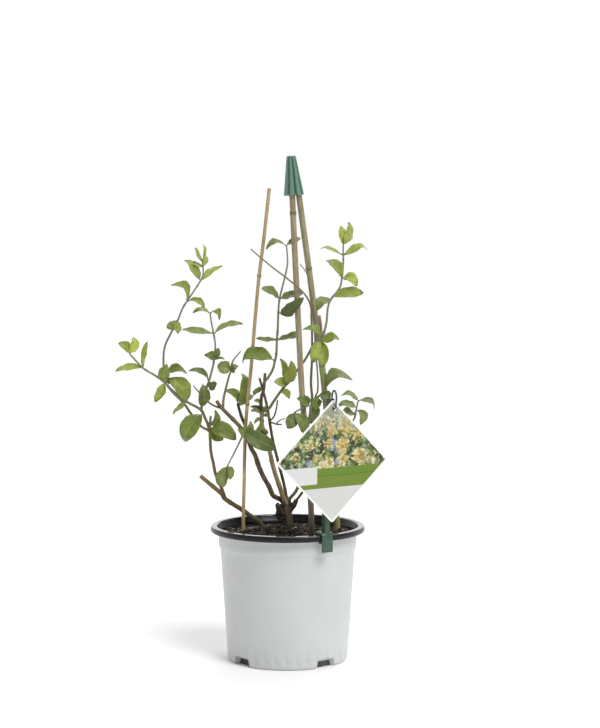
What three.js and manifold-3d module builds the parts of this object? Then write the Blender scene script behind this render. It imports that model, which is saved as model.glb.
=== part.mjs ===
// A honeysuckle vine in a one gallon nursery pot: twining leafy stems on bamboo canes, a cane cap,
// and a square plant tag on a clip. Millimetres, +Z up, origin at the middle of the pot's flat base.
import * as THREE from "three";
import { mergeVertices } from "three/addons/utils/BufferGeometryUtils.js";
import Module from "manifold-3d";

const wasm = await Module();
wasm.setup();

// ---- driving dimensions ----
const gap = 0.3; // clearance between two pieces that touch
const facetedGap = 1.8 * gap; // the same round a faceted rod, whose flat sides lie inside its circle
const grownGap = 1.6 * gap; // and round wood and stems
const mergeTolerance = 1e-4;

const pot = {
  height: 145,
  rimRadius: 83,
  rimInner: 78,
  rimRound: 1.2, // how far the lip's edges are rounded off
  lipHeight: 6.5,
  lipRoot: 1.5, // the slope where the lip springs from the collar
  collarRadius: 74.3,
  collarFoot: 123.5,
  shoulderRadius: 72.6,
  shoulderHeight: 120.5,
  footRadius: 65,
  baseRadius: 63,
  footCurve: [[0, 0], [1.3, 1.2], [1.8, 4.5], [2.3, 9]], // out from the base's radius, and up
  wall: 1.5,
  floor: 2,
  floorRound: 4,
  sides: 36,
};
const drain = { angles: [40, 130, 220, 310], width: 22, topWidth: 15, height: 10, inner: 57, outer: 70 };
const soil = {
  top: 133,
  lump: 1.8,
  moundHeight: 7,
  moundReach: 26,
  moundCentre: [0, 22],
  rings: [62, 51, 40, 29, 18, 8, 0], // radii where the top surface rises and falls
  wallSlack: 0.3, // more room at the wall, whose flat sides lie inside its circle
  footSlack: 0.9,
  footRise: 6.5,
  baseInset: 2.6,
  sides: 30,
};

const caneSides = 8;
const caneRing = { proud: 0.45, sunk: 0.2, halfHeight: 1.6 }; // the ring at a bamboo joint
const canes = {
  cane_front: {
    radius: 3.1,
    joints: [0.42, 0.93],
    points: [
      [25.6, -44, 60], [25.3, -42, 133], [24.8, -39, 172], [18.7, -31, 253], [15.1, -27, 295],
      [12.5, -22.4, 346], [9.9, -17.4, 399], [7.2, -12.2, 452], [5.2, -8.6, 497], [3.4, -8.5, 512],
    ],
  },
  cane_right: {
    radius: 3.2,
    joints: [0.33, 0.78],
    points: [
      [57, 30, 98], [54.7, 28, 134], [46.4, 21.5, 220], [38.2, 15, 304], [30.1, 9.5, 366],
      [25.8, 7, 398], [23.5, 5, 416], [12.4, -3.6, 497], [9.9, -4.2, 512],
    ],
  },
  cane_left: {
    radius: 2,
    joints: [0.45, 0.78],
    points: [
      [-48, -10, 85], [-47.8, -6, 128.2], [-47.6, 0, 161.1], [-47, 6, 192.2], [-46.2, 13, 235.5],
      [-44.2, 15, 268.2], [-39.3, 13, 316.5], [-34.1, 7, 375.9], [-30.3, 2, 413.6],
      [-24.7, -5, 457], [-19.2, -12, 506],
    ],
  },
  cane_short: {
    radius: 1.75,
    joints: [0.6],
    points: [
      [55.5, 37.6, 112], [56, 37.6, 133], [49, 30.5, 205], [41.5, 22.5, 287], [36, 17, 355],
      [34, 15.5, 370],
    ],
  },
};

const cap = {
  height: 42,
  bottomRadius: 10.2,
  topShare: 0.47,
  lobes: 8,
  lobeDepth: 0.09, // of the radius
  lobeMean: 0.4, // of the depth, how far the outline's middle lies inside the radius
  cornersPerLobe: 4,
  firstLobe: -101, // degrees from +X
  domeShare: 0.72, // of the top's width, where the top is rounded off
  steps: 5,
  lean: -4.2, // degrees, the top to the left
  foot: [6.9, -6, 498.6],
};

const tag = {
  side: 91,
  thickness: 0.8,
  corner: 1.2,
  yaw: 25.5, // degrees
  lean: 0.6,
  centre: [47, -75.3, 223.1],
  holeRadius: 2.4,
  hole: [1.2, 54.5],
  holeSegments: 10,
};

const holder = {
  azimuth: 29.5, // degrees to the right of the front, where the clip sits on the rim
  clipWidth: 12.5,
  strap: 2.1,
  strapRound: 1,
  rimSpace: 0.5, // clearances round the lip: outside, on top, inside and below
  topSpace: 0.4,
  wallSpace: 0.9,
  underSpace: 0.6,
  jawBottom: 127.5,
  jawFoot: [6.5, 1.7], // how far the jaw's foot reaches under the lip, and its thickness
  legBottom: 136,
  postWidth: 6,
  postFlange: 7,
  postThickness: 1.6,
  postFoot: 146,
  postTop: 288,
  postFront: 84.5,
  postLean: [0.031, -0.016], // sideways and outwards, for each millimetre up
  wireRadius: 1.1,
  wireSides: 6,
  wireSteps: 16,
  wire: [
    [4.8, -85.6, 283], [4.8, -85.9, 290], [5.2, -87.2, 295.4], [6, -89.6, 296.2], [6.7, -91.3, 292],
    [6.5, -91.7, 285], [6, -91.2, 279.8], [5.7, -89.6, 277.6], [5.7, -86.6, 277.2],
  ],
};

// ---- joining and cutting ----
function toSolid(geometry) {
  const bare = geometry.index ? geometry.toNonIndexed() : geometry.clone();
  bare.deleteAttribute("normal");
  bare.deleteAttribute("uv");
  const merged = mergeVertices(bare, mergeTolerance);
  const vertProperties = merged.attributes.position.array;
  const triVerts = new Uint32Array(merged.index.array);
  return new wasm.Manifold(new wasm.Mesh({ numProp: 3, vertProperties, triVerts }));
}

const join = (solids) => wasm.Manifold.union(solids);

// The biggest body of a solid: a scrap that a cut leaves loose is dropped.
function mainBody(solid) {
  return solid.decompose().reduce((best, body) => (body.volume() > best.volume() ? body : best));
}

function toGeometry(solid) {
  const { vertProperties, triVerts } = solid.getMesh();
  const geometry = new THREE.BufferGeometry();
  geometry.setAttribute("position", new THREE.BufferAttribute(vertProperties, 3));
  geometry.setIndex(new THREE.BufferAttribute(triVerts, 1));
  geometry.computeVertexNormals();
  return geometry;
}

const part = new THREE.Group();
part.name = "honeysuckle_vine";

function addNode(name, solid, color, roughness) {
  const material = new THREE.MeshStandardMaterial({ color, roughness, metalness: 0, flatShading: true });
  const mesh = new THREE.Mesh(toGeometry(solid), material);
  mesh.name = name;
  part.add(mesh);
}

// Seeded random numbers from 0 to 1, the same on every run.
function seeded(seed) {
  let state = seed;
  return () => {
    state = (state * 1664525 + 1013904223) % 4294967296;
    return state / 4294967296;
  };
}

// ---- round stems and canes ----
const curveThrough = (points) =>
  new THREE.CatmullRomCurve3(points.map((p) => new THREE.Vector3(...p)), false, "catmullrom", 0.5);

// A tube along the points whose radius goes evenly from the first value to the second.
function taperedTube(points, startRadius, endRadius, sides, steps) {
  const path = curveThrough(points);
  const corners = [];
  for (let i = 0; i < sides; i += 1) {
    const angle = (i / sides) * Math.PI * 2;
    corners.push(new THREE.Vector2(Math.cos(angle), Math.sin(angle)));
  }
  const settings = { steps, extrudePath: path, bevelEnabled: false };
  const geometry = new THREE.ExtrudeGeometry(new THREE.Shape(corners), settings);
  const centres = path.getSpacedPoints(steps);
  const position = geometry.attributes.position;
  const vertex = new THREE.Vector3();
  for (let i = 0; i < position.count; i += 1) {
    vertex.fromBufferAttribute(position, i);
    let nearest = 0;
    centres.forEach((centre, step) => {
      if (centre.distanceTo(vertex) < centres[nearest].distanceTo(vertex)) nearest = step;
    });
    const radius = THREE.MathUtils.lerp(startRadius, endRadius, nearest / steps);
    vertex.sub(centres[nearest]).multiplyScalar(radius).add(centres[nearest]);
    position.setXYZ(i, vertex.x, vertex.y, vertex.z);
  }
  return toSolid(geometry);
}

// ---- pot ----
function potShell() {
  const inner = (radius) => radius - pot.wall;
  const lipBottom = pot.height - pot.lipHeight;
  const round = pot.rimRound;
  const profile = [
    [0, 0], ...pot.footCurve.map(([out, up]) => [pot.baseRadius + out, up]),
    [pot.shoulderRadius, pot.shoulderHeight], [pot.collarRadius, pot.collarFoot],
    [pot.collarRadius, lipBottom - pot.lipRoot], [pot.collarRadius + pot.lipRoot, lipBottom],
    [pot.rimRadius - round, lipBottom], [pot.rimRadius, lipBottom + round],
    [pot.rimRadius, pot.height - round], [pot.rimRadius - round, pot.height],
    [pot.rimInner + round, pot.height], [pot.rimInner - round, pot.height - round],
    [inner(pot.collarRadius), lipBottom], [inner(pot.collarRadius), pot.collarFoot],
    [inner(pot.shoulderRadius), pot.shoulderHeight], [inner(pot.footRadius), pot.floor + pot.floorRound],
    [inner(pot.baseRadius), pot.floor], [0, pot.floor],
  ];
  const lathe = new THREE.LatheGeometry(profile.map(([r, z]) => new THREE.Vector2(r, z)), pot.sides);
  return toSolid(lathe.rotateX(Math.PI / 2));
}

// A drain opening in the foot: a notch with slanted sides through the wall and the floor's edge.
function drainCutter(degrees) {
  const half = drain.width / 2;
  const top = drain.topWidth / 2;
  const below = -1; // the cutter starts a little under the base
  const outline = [[-half, below], [half, below], [top, drain.height], [-top, drain.height]];
  const shape = new THREE.Shape(outline.map(([x, z]) => new THREE.Vector2(x, z)));
  const depth = drain.outer - drain.inner;
  const geometry = new THREE.ExtrudeGeometry(shape, { depth, bevelEnabled: false });
  geometry.rotateX(Math.PI / 2).translate(0, -drain.inner, 0);
  return toSolid(geometry.rotateZ(THREE.MathUtils.degToRad(degrees)));
}

const potSolid = drain.angles.reduce((body, degrees) => body.subtract(drainCutter(degrees)), potShell());

// ---- canes and their cap ----
// A bamboo joint is a low ring that stands a little proud of the cane.
function caneJoint(path, share, radius) {
  const { proud, sunk, halfHeight } = caneRing;
  const profile = [
    [0, -halfHeight], [radius - sunk, -halfHeight], [radius + proud, 0],
    [radius - sunk, halfHeight], [0, halfHeight],
  ];
  const geometry = new THREE.LatheGeometry(profile.map(([r, y]) => new THREE.Vector2(r, y)), caneSides);
  const upright = new THREE.Vector3(0, 1, 0);
  geometry.applyQuaternion(new THREE.Quaternion().setFromUnitVectors(upright, path.getTangentAt(share)));
  const place = path.getPointAt(share);
  return toSolid(geometry.translate(place.x, place.y, place.z));
}

function caneSolid({ points, radius, joints }) {
  const path = curveThrough(points);
  const pole = taperedTube(points, radius, radius, caneSides, points.length);
  return join([pole, ...joints.map((share) => caneJoint(path, share, radius))]);
}

// The space that a cane needs in the soil or in the cap.
const caneSpace = ({ points, radius }) =>
  taperedTube(points, radius + facetedGap, radius + facetedGap, caneSides, points.length);

// The cap is a lobed plug that narrows upwards, with a socket below for each cane that it holds.
function capSolid() {
  const outline = [];
  const corners = cap.lobes * cap.cornersPerLobe;
  for (let i = 0; i < corners; i += 1) {
    const angle = (i / corners) * Math.PI * 2 + THREE.MathUtils.degToRad(cap.firstLobe);
    const ridge = Math.cos((i / cap.cornersPerLobe) * Math.PI * 2);
    const radius = cap.bottomRadius * (1 + cap.lobeDepth * (ridge - cap.lobeMean));
    outline.push(new THREE.Vector2(Math.cos(angle) * radius, Math.sin(angle) * radius));
  }
  const settings = { depth: cap.height, steps: cap.steps, bevelEnabled: false };
  const geometry = new THREE.ExtrudeGeometry(new THREE.Shape(outline), settings);
  const position = geometry.attributes.position;
  for (let i = 0; i < position.count; i += 1) {
    const rise = position.getZ(i) / cap.height;
    const domed = rise > 1 - mergeTolerance ? cap.domeShare : 1;
    const share = THREE.MathUtils.lerp(1, cap.topShare, rise) * domed;
    position.setXY(i, position.getX(i) * share, position.getY(i) * share);
  }
  geometry.rotateY(THREE.MathUtils.degToRad(cap.lean)).translate(...cap.foot);
  return toSolid(geometry).subtract(caneSpace(canes.cane_front)).subtract(caneSpace(canes.cane_right));
}

// ---- plant tag and its holder ----
const tagTurn = (geometry) =>
  geometry
    .rotateX(Math.PI / 2)
    .rotateY(THREE.MathUtils.degToRad(tag.lean))
    .rotateZ(THREE.MathUtils.degToRad(tag.yaw))
    .translate(...tag.centre);

function tagSolid() {
  const reach = tag.side / Math.SQRT2;
  const nick = tag.corner;
  const shape = new THREE.Shape();
  shape.moveTo(-nick, reach - nick);
  shape.lineTo(-reach + nick, nick);
  shape.lineTo(-reach + nick, -nick);
  shape.lineTo(-nick, -reach + nick);
  shape.lineTo(nick, -reach + nick);
  shape.lineTo(reach - nick, -nick);
  shape.lineTo(reach - nick, nick);
  shape.lineTo(nick, reach - nick);
  shape.closePath();
  shape.holes.push(new THREE.Path().absarc(...tag.hole, tag.holeRadius, 0, Math.PI * 2, true));
  const settings = { depth: tag.thickness, curveSegments: tag.holeSegments, bevelEnabled: false };
  return toSolid(tagTurn(new THREE.ExtrudeGeometry(shape, settings).translate(0, 0, -tag.thickness / 2)));
}

// The clip grips the rim between an outer jaw with a foot under the lip and a leg inside the pot.
function clipSolid() {
  const { strap, strapRound, jawBottom, legBottom } = holder;
  const [footReach, footThickness] = holder.jawFoot;
  const lip = pot.rimRadius + holder.rimSpace;
  const inside = pot.collarRadius - pot.wall - holder.wallSpace;
  const over = pot.height + holder.topSpace;
  const underLip = pot.height - pot.lipHeight - holder.underSpace;
  const outline = [
    [lip + strap, jawBottom], [lip + strap, over], [lip + strapRound, over + strap],
    [inside - strapRound, over + strap + strapRound], [inside - strap, over], [inside - strap, legBottom],
    [inside, legBottom], [inside, over], [lip, over], [lip, underLip], [lip - footReach, underLip],
    [lip - footReach, underLip - footThickness], [lip, underLip - footThickness], [lip, jawBottom],
  ];
  const shape = new THREE.Shape(outline.map(([r, z]) => new THREE.Vector2(r, z)));
  const geometry = new THREE.ExtrudeGeometry(shape, { depth: holder.clipWidth, bevelEnabled: false });
  geometry.translate(0, 0, -holder.clipWidth / 2).rotateX(Math.PI / 2).rotateZ(-Math.PI / 2);
  return toSolid(geometry);
}

// The post is an angle section: a front strip with a flange behind its left edge.
function postSolid() {
  const half = holder.postWidth / 2;
  const front = -holder.postFront;
  const skin = holder.postThickness;
  const outline = [
    [-half, front], [half, front], [half, front + skin], [skin - half, front + skin],
    [skin - half, front + holder.postFlange], [-half, front + holder.postFlange],
  ];
  const shape = new THREE.Shape(outline.map(([x, y]) => new THREE.Vector2(x, y)));
  const depth = holder.postTop - holder.postFoot;
  const geometry = new THREE.ExtrudeGeometry(shape, { depth, bevelEnabled: false });
  geometry.applyMatrix4(new THREE.Matrix4().makeShear(0, 0, 0, 0, ...holder.postLean));
  return toSolid(geometry.translate(0, 0, holder.postFoot));
}

function holderSolid() {
  const { wireRadius, wireSides, wireSteps } = holder;
  const wire = taperedTube(holder.wire, wireRadius, wireRadius, wireSides, wireSteps);
  const whole = join([clipSolid(), postSolid(), wire]);
  return whole.rotate([0, 0, holder.azimuth]);
}

// ---- plant: blades ----
const blade = {
  thickness: 0.85,
  stations: [0, 0.14, 0.36, 0.62, 0.85, 1], // along the midrib, the first one is the stalk
  shares: [0.1, 0.34, 0.94, 1, 0.62, 0.08], // of the half width at each station
  fold: 0.28, // radians that each half is raised
  wave: 0.07, // of the width, how far the edges rise and fall
  waves: 8, // radians of that wave along the blade
};

// A leaf from its root on the stem to its tip. turn is 0 for a blade that faces the front and 90 for
// one that lies level with its upper side up. The midrib bows out of a straight line: arch is how far
// it does so towards the blade's upper side, and sweep how far it does so upwards, seen from the front.
function leafBlade(root, reach, width, turn, arch, sweep, phase) {
  const along = new THREE.Vector3(...reach);
  const length = along.length();
  along.normalize();
  const front = new THREE.Vector3(0, -1, 0);
  const face = front.addScaledVector(along, -front.dot(along)).normalize();
  const up = new THREE.Vector3().crossVectors(along, face);
  if (up.x + 2 * up.z < 0) up.negate();
  const angle = THREE.MathUtils.degToRad(turn);
  const normal = face.clone().multiplyScalar(Math.cos(angle)).addScaledVector(up, Math.sin(angle));
  const across = up.clone().multiplyScalar(Math.cos(angle)).addScaledVector(face, -Math.sin(angle));
  const columns = blade.stations.length - 1;
  const grid = new THREE.PlaneGeometry(1, 1, columns, 2);
  const flat = grid.attributes.position;
  const points = [];
  const place = (column, side, lift) => {
    const t = blade.stations[column];
    const half = (blade.shares[column] * width) / 2;
    const edge = Math.abs(side);
    const bow = 4 * t * (1 - t);
    const ripple = Math.sin(phase + t * blade.waves) * blade.wave * width * edge * Math.min(1, 4 * t);
    return root.clone()
      .addScaledVector(along, t * length)
      .addScaledVector(up, sweep * bow)
      .addScaledVector(across, side * half * Math.cos(blade.fold))
      .addScaledVector(normal, arch * bow + edge * half * Math.sin(blade.fold) + ripple + lift);
  };
  [blade.thickness / 2, -blade.thickness / 2].forEach((lift) => {
    for (let i = 0; i < flat.count; i += 1) {
      const column = Math.round((flat.getX(i) + 0.5) * columns);
      points.push(...place(column, 2 * flat.getY(i), lift).toArray());
    }
  });
  const top = [...grid.index.array];
  const under = top.map((_, i) => top[i - (i % 3) + [0, 2, 1][i % 3]] + flat.count);
  const row = columns + 1;
  const loop = [];
  for (let i = columns; i > 0; i -= 1) loop.push(i);
  loop.push(0, row);
  for (let i = 0; i < columns; i += 1) loop.push(2 * row + i);
  loop.push(3 * row - 1, 2 * row - 1);
  const rim = loop.flatMap((a, i) => {
    const b = loop[(i + 1) % loop.length];
    return [b, a, a + flat.count, b, a + flat.count, b + flat.count];
  });
  const geometry = new THREE.BufferGeometry();
  geometry.setAttribute("position", new THREE.BufferAttribute(new Float32Array(points), 3));
  geometry.setIndex([...top, ...under, ...rim]);
  const solid = toSolid(geometry);
  if (solid.volume() > 0) return solid;
  geometry.setIndex([...top, ...under, ...rim].reverse());
  return toSolid(geometry);
}

// ---- plant: woody crown ----
// Each branch: its points from root to end, the radius there and there, and how many steps it takes.
const crownBranches = {
  trunk: {
    points: [
      [1, 24, 92], [0.8, 22.5, 133], [0.3, 22, 145], [-0.5, 21.5, 158], [-0.8, 21, 171],
    ],
    radii: [5.7, 4.5],
    steps: 6,
  },
  leftKnob: {
    points: [
      [-1, 21.5, 152], [-7, 19, 156], [-11.5, 17.5, 164],
    ],
    radii: [4, 2.6],
    steps: 3,
  },
  rightStub: {
    points: [
      [1, 21, 157], [6, 19, 163], [9.5, 18, 169],
    ],
    radii: [3.4, 2.3],
    steps: 3,
  },
  leftBranch: {
    points: [
      [-1, 21, 166], [-8.4, 19.5, 170], [-15.9, 18, 174], [-20.3, 16, 184], [-25.8, 14, 194],
      [-30.9, 11, 206], [-35.3, 9, 219.5], [-39.6, 7.5, 227.5], [-47.5, 5, 246], [-70.5, 2, 271],
      [-76.4, 1, 279],
    ],
    radii: [2.8, 1.9],
    steps: 14,
  },
  middleBranch: {
    points: [
      [-1.5, 19, 165], [-5.1, 16, 173], [-9.4, 14, 186], [-13.1, 12, 197], [-16.9, 10, 211], [-19, 8, 221],
      [-23.3, 7, 238], [-25.5, 6, 246], [-28, 5, 256], [-27.6, 5, 268],
    ],
    radii: [2.7, 2],
    steps: 10,
  },
  budStub: {
    points: [
      [-24.5, 6, 243], [-29, 5, 246], [-33.3, 4, 249],
    ],
    radii: [1.6, 0.7],
    steps: 2,
  },
  deadStick: {
    points: [
      [0.5, 25, 162], [-5.2, 24, 190], [-8.4, 21, 203], [-15, 17, 229], [-19.2, 13, 253],
      [-22.3, 11, 272.5], [-27.3, 9, 292.5], [-30.4, 8, 303],
    ],
    radii: [1.8, 1.3],
    steps: 8,
  },
  darkStub: {
    points: [
      [-39.8, 7.8, 227], [-40.5, 13, 233], [-42, 18.5, 241], [-46, 21, 250], [-50.2, 22, 260],
      [-54.3, 22, 274],
    ],
    radii: [2, 1.5],
    steps: 5,
  },
  cutTwig: {
    points: [
      [-27.8, 5, 264], [-28.6, 4, 275], [-28, 3, 284], [-26.1, 0, 290], [-25, -1, 299], [-24.2, -2, 309],
    ],
    radii: [1.9, 1.5],
    steps: 6,
  },
  crossTwig: {
    points: [
      [-19.3, 12.6, 255], [-15.2, 8, 254.2], [-11.3, 6, 253.2], [-6.3, 5, 253],
    ],
    radii: [0.9, 0.7],
    steps: 3,
  },
  forkTwig: {
    points: [
      [-12.1, 6.5, 253.3], [-10.4, 4, 256], [-7.4, 0, 258.6], [-2.6, -4, 260.4],
    ],
    radii: [0.7, 0.5],
    steps: 3,
  },
  leanTwig: {
    points: [
      [-19.5, 12.6, 255.5], [-14.7, 9, 261.7], [-12.3, 8, 269.3], [-10.9, 7, 279.1],
    ],
    radii: [0.9, 0.7],
    steps: 3,
  },
  endTwig: {
    points: [
      [-70.5, 2, 271], [-75.8, 1.6, 272.4], [-81.2, 1, 275], [-86.6, 0, 279], [-92, -1, 285],
      [-97.3, -2, 291], [-101, -3, 296],
    ],
    radii: [1.2, 0.6],
    steps: 5,
  },
};

const lyingBranch = {
  points: [[-22, 57, 112], [-29.8, 55.5, 136], [-41.9, 54, 146.5], [-51.8, 53, 154], [-69.2, 48, 166],
    [-74, 45, 173], [-95.4, 35, 193]],
  radii: [2.9, 2.3],
  steps: 9,
};

const tubeOf = ({ points, radii, steps }, sides, swell = 0) =>
  taperedTube(points, radii[0] + swell, radii[1] + swell, sides, steps);

// ---- plant: leafy stems ----
// Each stem: its points from root to tip, its radii and steps, and its leaves. A leaf says where on the
// stem it stands (a place in the list of points), its reach to the tip in millimetres, its width, its
// turn, its arch and its sweep. Thin twigs grow from the stem with leaves of their own, each of which
// starts with its twig's number. A stem that springs from another one, and not from the old wood,
// names it in from.
const leafyStems = {
  stem_far_left: {
    points: [
      [-69.2, 48, 166], [-72.3, 45, 176.5], [-77.7, 42, 190], [-80, 39, 197], [-81.7, 34, 208],
      [-83.9, 30, 220], [-84.6, 26, 234], [-85.4, 23, 247], [-89.7, 20, 258.5], [-93.9, 17, 267.5],
      [-105.6, 13, 275], [-114.5, 10, 280.5], [-125.1, 5, 291], [-131.8, 2, 298.5], [-142.3, -4, 307],
      [-154.1, -9, 315], [-165.9, -13, 328], [-167.9, -15, 331],
    ],
    radii: [2, 1],
    steps: 22,
    leaves: [
      [17, [-11.2, -4, 11.7], 10.5, 25, 0, 2.9], [17, [4.8, 3, 17.6], 11.5, 25, 0, 1.6],
      [15, [4.4, 4, 28.4], 8, 40, 0, -3], [15, [-29.7, -6, -2.7], 9, 40, 0, 2],
      [13, [-10.8, -8, -20.4], 11.5, 25, 0, -1], [13, [2.3, -7, 20.9], 13.5, 25, 1, -2.8],
      [10.3, [-18.7, -1, 26.6], 19.5, 18, 2, 4.2], [10.5, [-14.5, -6, -12.7], 7, 40, 0, 0],
      [8.6, [-23.5, -8, -31.7], 21.5, 15, 2, 2.5], [7.2, [7.6, -5, 18.1], 8.5, 25, 0, 5.6],
      [7, [29.7, -10, -10.5], 18, 22, 3, 3], [7, [15.5, -4, -12.7], 12, 10, 0, -1],
    ],
  },
  stem_arching: {
    from: "stem_far_left",
    points: [
      [-85.8, 22.6, 244.4], [-95.2, 21, 250.5], [-104.8, 20, 263], [-113.3, 19, 275.5], [-125.1, 17, 287.5],
      [-131.5, 14, 297.5], [-133.5, 11, 309.5], [-133.5, 8, 328], [-131.3, 6, 339], [-126.1, 4, 350],
      [-117.8, 0, 365], [-112.4, -3, 378], [-107.5, -5, 386], [-101.2, -7, 395], [-92.7, -9, 408],
      [-89.5, -11, 416], [-90.2, -13, 428],
    ],
    radii: [1.5, 0.8],
    steps: 18,
    leaves: [
      [16, [-6.4, -2, 17.4], 4.5, 35, 0, -2], [16, [3, 2, 20.5], 3.5, 45, 0, 0],
      [15.6, [4.1, -4, 13.2], 6.5, 35, 0, 0], [15.6, [-14.9, 3, 4.9], 6, 40, 0, 0.5],
      [14, [-15.4, -6, 25.2], 10, 30, 0, 0.8], [14, [23.1, 5, 15.7], 8.5, 40, 0, 1],
      [12.1, [-16.4, -3, 18.6], 11, 40, 0, 8], [12, [19.7, -6, -7], 8.5, 40, 0, 4.6],
      [10, [-11.6, -4, -7], 11, 15, 1, -2], [10, [1.7, -7, -13.3], 9, 25, 1, -1.2],
      [5.6, [24.9, -5, 6.9], 11, 40, 0, 4.8], [5.6, [7.1, 5, -9.3], 6, 20, 0, 1],
    ],
  },
  stem_left_centre: {
    from: "stem_far_left",
    points: [
      [-93.9, 17, 267.5], [-90.5, 15, 284], [-85, 13, 299.5], [-81.7, 11, 311], [-79.2, 9, 322.5],
      [-77.8, 7, 337.5], [-79.1, 5, 349.5], [-81.3, 3, 361], [-83.1, 1, 373.5],
    ],
    radii: [1.4, 0.8],
    steps: 10,
    leaves: [
      [8, [-18.3, -3, 0.3], 6, 40, 0, 3.5], [8, [11.3, -6, -6], 7.5, 35, 0, 6],
      [6.15, [-34.2, -5, 5.8], 8.5, 42, 0, 0.8], [6.1, [31.3, 4, 10.3], 8.5, 42, 0, 5.5],
      [4, [-9.4, -6, 6.8], 11, 25, 1, 2], [4, [5.4, -2, 13.4], 7, 30, 0, 0],
      [2, [-21.9, -5, 12.2], 7.5, 42, 0, 5], [0.15, [3, -7, 26.3], 13.5, 20, 2, 0],
      [1.7, [10.3, -3, 2], 11, 20, 1, -3.2], [4, [11.6, -4, 1.7], 3.5, 40, 0, 1.2],
    ],
  },
  stem_cut_end: {
    points: [
      [-69.5, 1.5, 271], [-68.8, 1, 281], [-66.6, 0, 291], [-63, -2, 305], [-60.8, -3, 311],
      [-58.6, -4, 322], [-50, -6, 333],
    ],
    radii: [1.5, 0.7],
    steps: 7,
    leaves: [
      [4.3, [-15.3, -5, 4.6], 15, 15, 2, -1.5], [4.3, [6.1, -7, 3.2], 11.5, 20, 1, -1],
    ],
  },
  stem_tall_centre: {
    points: [
      [-25, -1, 299], [-19.9, -4, 306], [-15.8, -6, 313.5], [-13.5, -8, 322.5], [-12, -9, 330],
      [-11.3, -10, 345], [-10.4, -11, 357.5], [-9.6, -12, 378], [-8.4, -13, 389], [-5.6, -13, 401],
      [-2.9, -14, 411.5], [-0.1, -13, 425], [-0.1, -12, 434.5], [-1.1, -11, 445.5],
    ],
    radii: [1.4, 0.8],
    steps: 15,
    leaves: [
      [13, [-22.3, -5, -2.9], 8, 48, 0, 5.5], [13, [15.5, 12, 9.2], 7.5, 35, 0, 0.5],
      [8, [-19, -5, 12], 11, 40, 0, 1], [8, [25.1, 6, 7.5], 10.5, 45, 0, 1],
      [6.8, [25.2, -24, 17.3], 14.5, 25, 2, -6.5], [5, [-22.9, 4, 2.2], 6.5, 45, 0, -0.8],
      [5, [28.7, 6, 8], 10, 45, 0, 0], [3, [-40.6, 11, 2.3], 16.5, 33, 0, 7.5],
    ],
  },
  stem_tall_right: {
    points: [
      [-27.6, 5, 266.5], [-20.5, 3, 270], [-14.6, 1, 279], [-8.4, -2, 288], [-3.1, -3, 295], [1.6, -4, 300],
      [10.6, -6, 313], [19.1, -8, 324.5], [28.3, -10, 341], [34.6, -10, 345], [36.8, -10, 346.5],
      [41.3, -9, 362.5], [43, -8, 379], [46.5, -7, 388.5], [55.4, -5, 400], [58.1, -4, 411],
      [59.4, -3, 425], [59.4, -2.5, 438.5], [59.4, -2, 446],
    ],
    radii: [1.6, 0.9],
    steps: 24,
    leaves: [
      [18, [-1.9, -3, 21.2], 9.5, 32, 1, -1.2], [18, [6.9, 3, 25.2], 11, 32, 1, 2],
      [16.7, [-24.5, -4, 11.7], 5, 50, 0, 1], [16.7, [27, 5, 13.8], 10, 42, 0, 0],
      [15, [-16.6, -6, 20.2], 12, 25, 1, 3.8], [15, [16.3, -7, -8], 12.5, 20, 1, 4.2],
      [13.2, [33, -6, 5], 13, 30, 0, 2.5], [13, [-15.9, -4, -11.5], 12, 25, 1, 3.8],
      [9.5, [-18, -6, 14.9], 9.5, 42, 0, 6], [9.5, [19.5, -6, 3.4], 12, 30, 1, 0],
      [9, [-4.3, -9, -24.8], 9.5, 25, 1, -2.2], [9.7, [3.6, -7, -31.7], 11, -25, 1, 2.5],
      [4.5, [7.4, -9, 25.9], 14.5, 20, 2, -1], [4.3, [-5.7, -6, 29.4], 10, 35, 0, 2.5],
      [4.3, [-12.4, -8, 3.9], 10.5, 15, 1, 2], [3.2, [9.9, -6, -6.7], 9, 30, 1, 1.5],
    ],
  },
  stem_twining: {
    points: [
      [-0.5, 20, 168], [10, 17, 181], [14, 14, 200], [18, 10, 230], [23, 6, 258], [26.2, 3, 280],
      [25.1, 2, 297], [25.6, 0, 312], [26.2, -1, 325], [26.2, -2, 350], [25.4, -2, 369], [25, -3, 380],
      [20.4, -9, 391], [11.2, -24, 401.5], [-1.6, -22, 412], [-13.7, -20.5, 421], [-27.1, -21, 432],
      [-38.8, -19, 442],
    ],
    radii: [1.9, 0.7],
    steps: 24,
    twigs: [
      {
        points: [
          [25.6, 3, 272], [30, 8, 283], [32.7, 8, 296], [29.4, 5, 344], [28.1, 3, 366], [26, 0.5, 385],
          [22.9, -2, 405.5], [20.3, -3, 416], [13.3, -6, 426],
        ],
        radii: [1, 0.5],
        steps: 12,
      },
      {
        points: [
          [26.2, 3, 279], [33, -4, 284], [40, -8, 291],
        ],
        radii: [1.2, 1],
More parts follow.
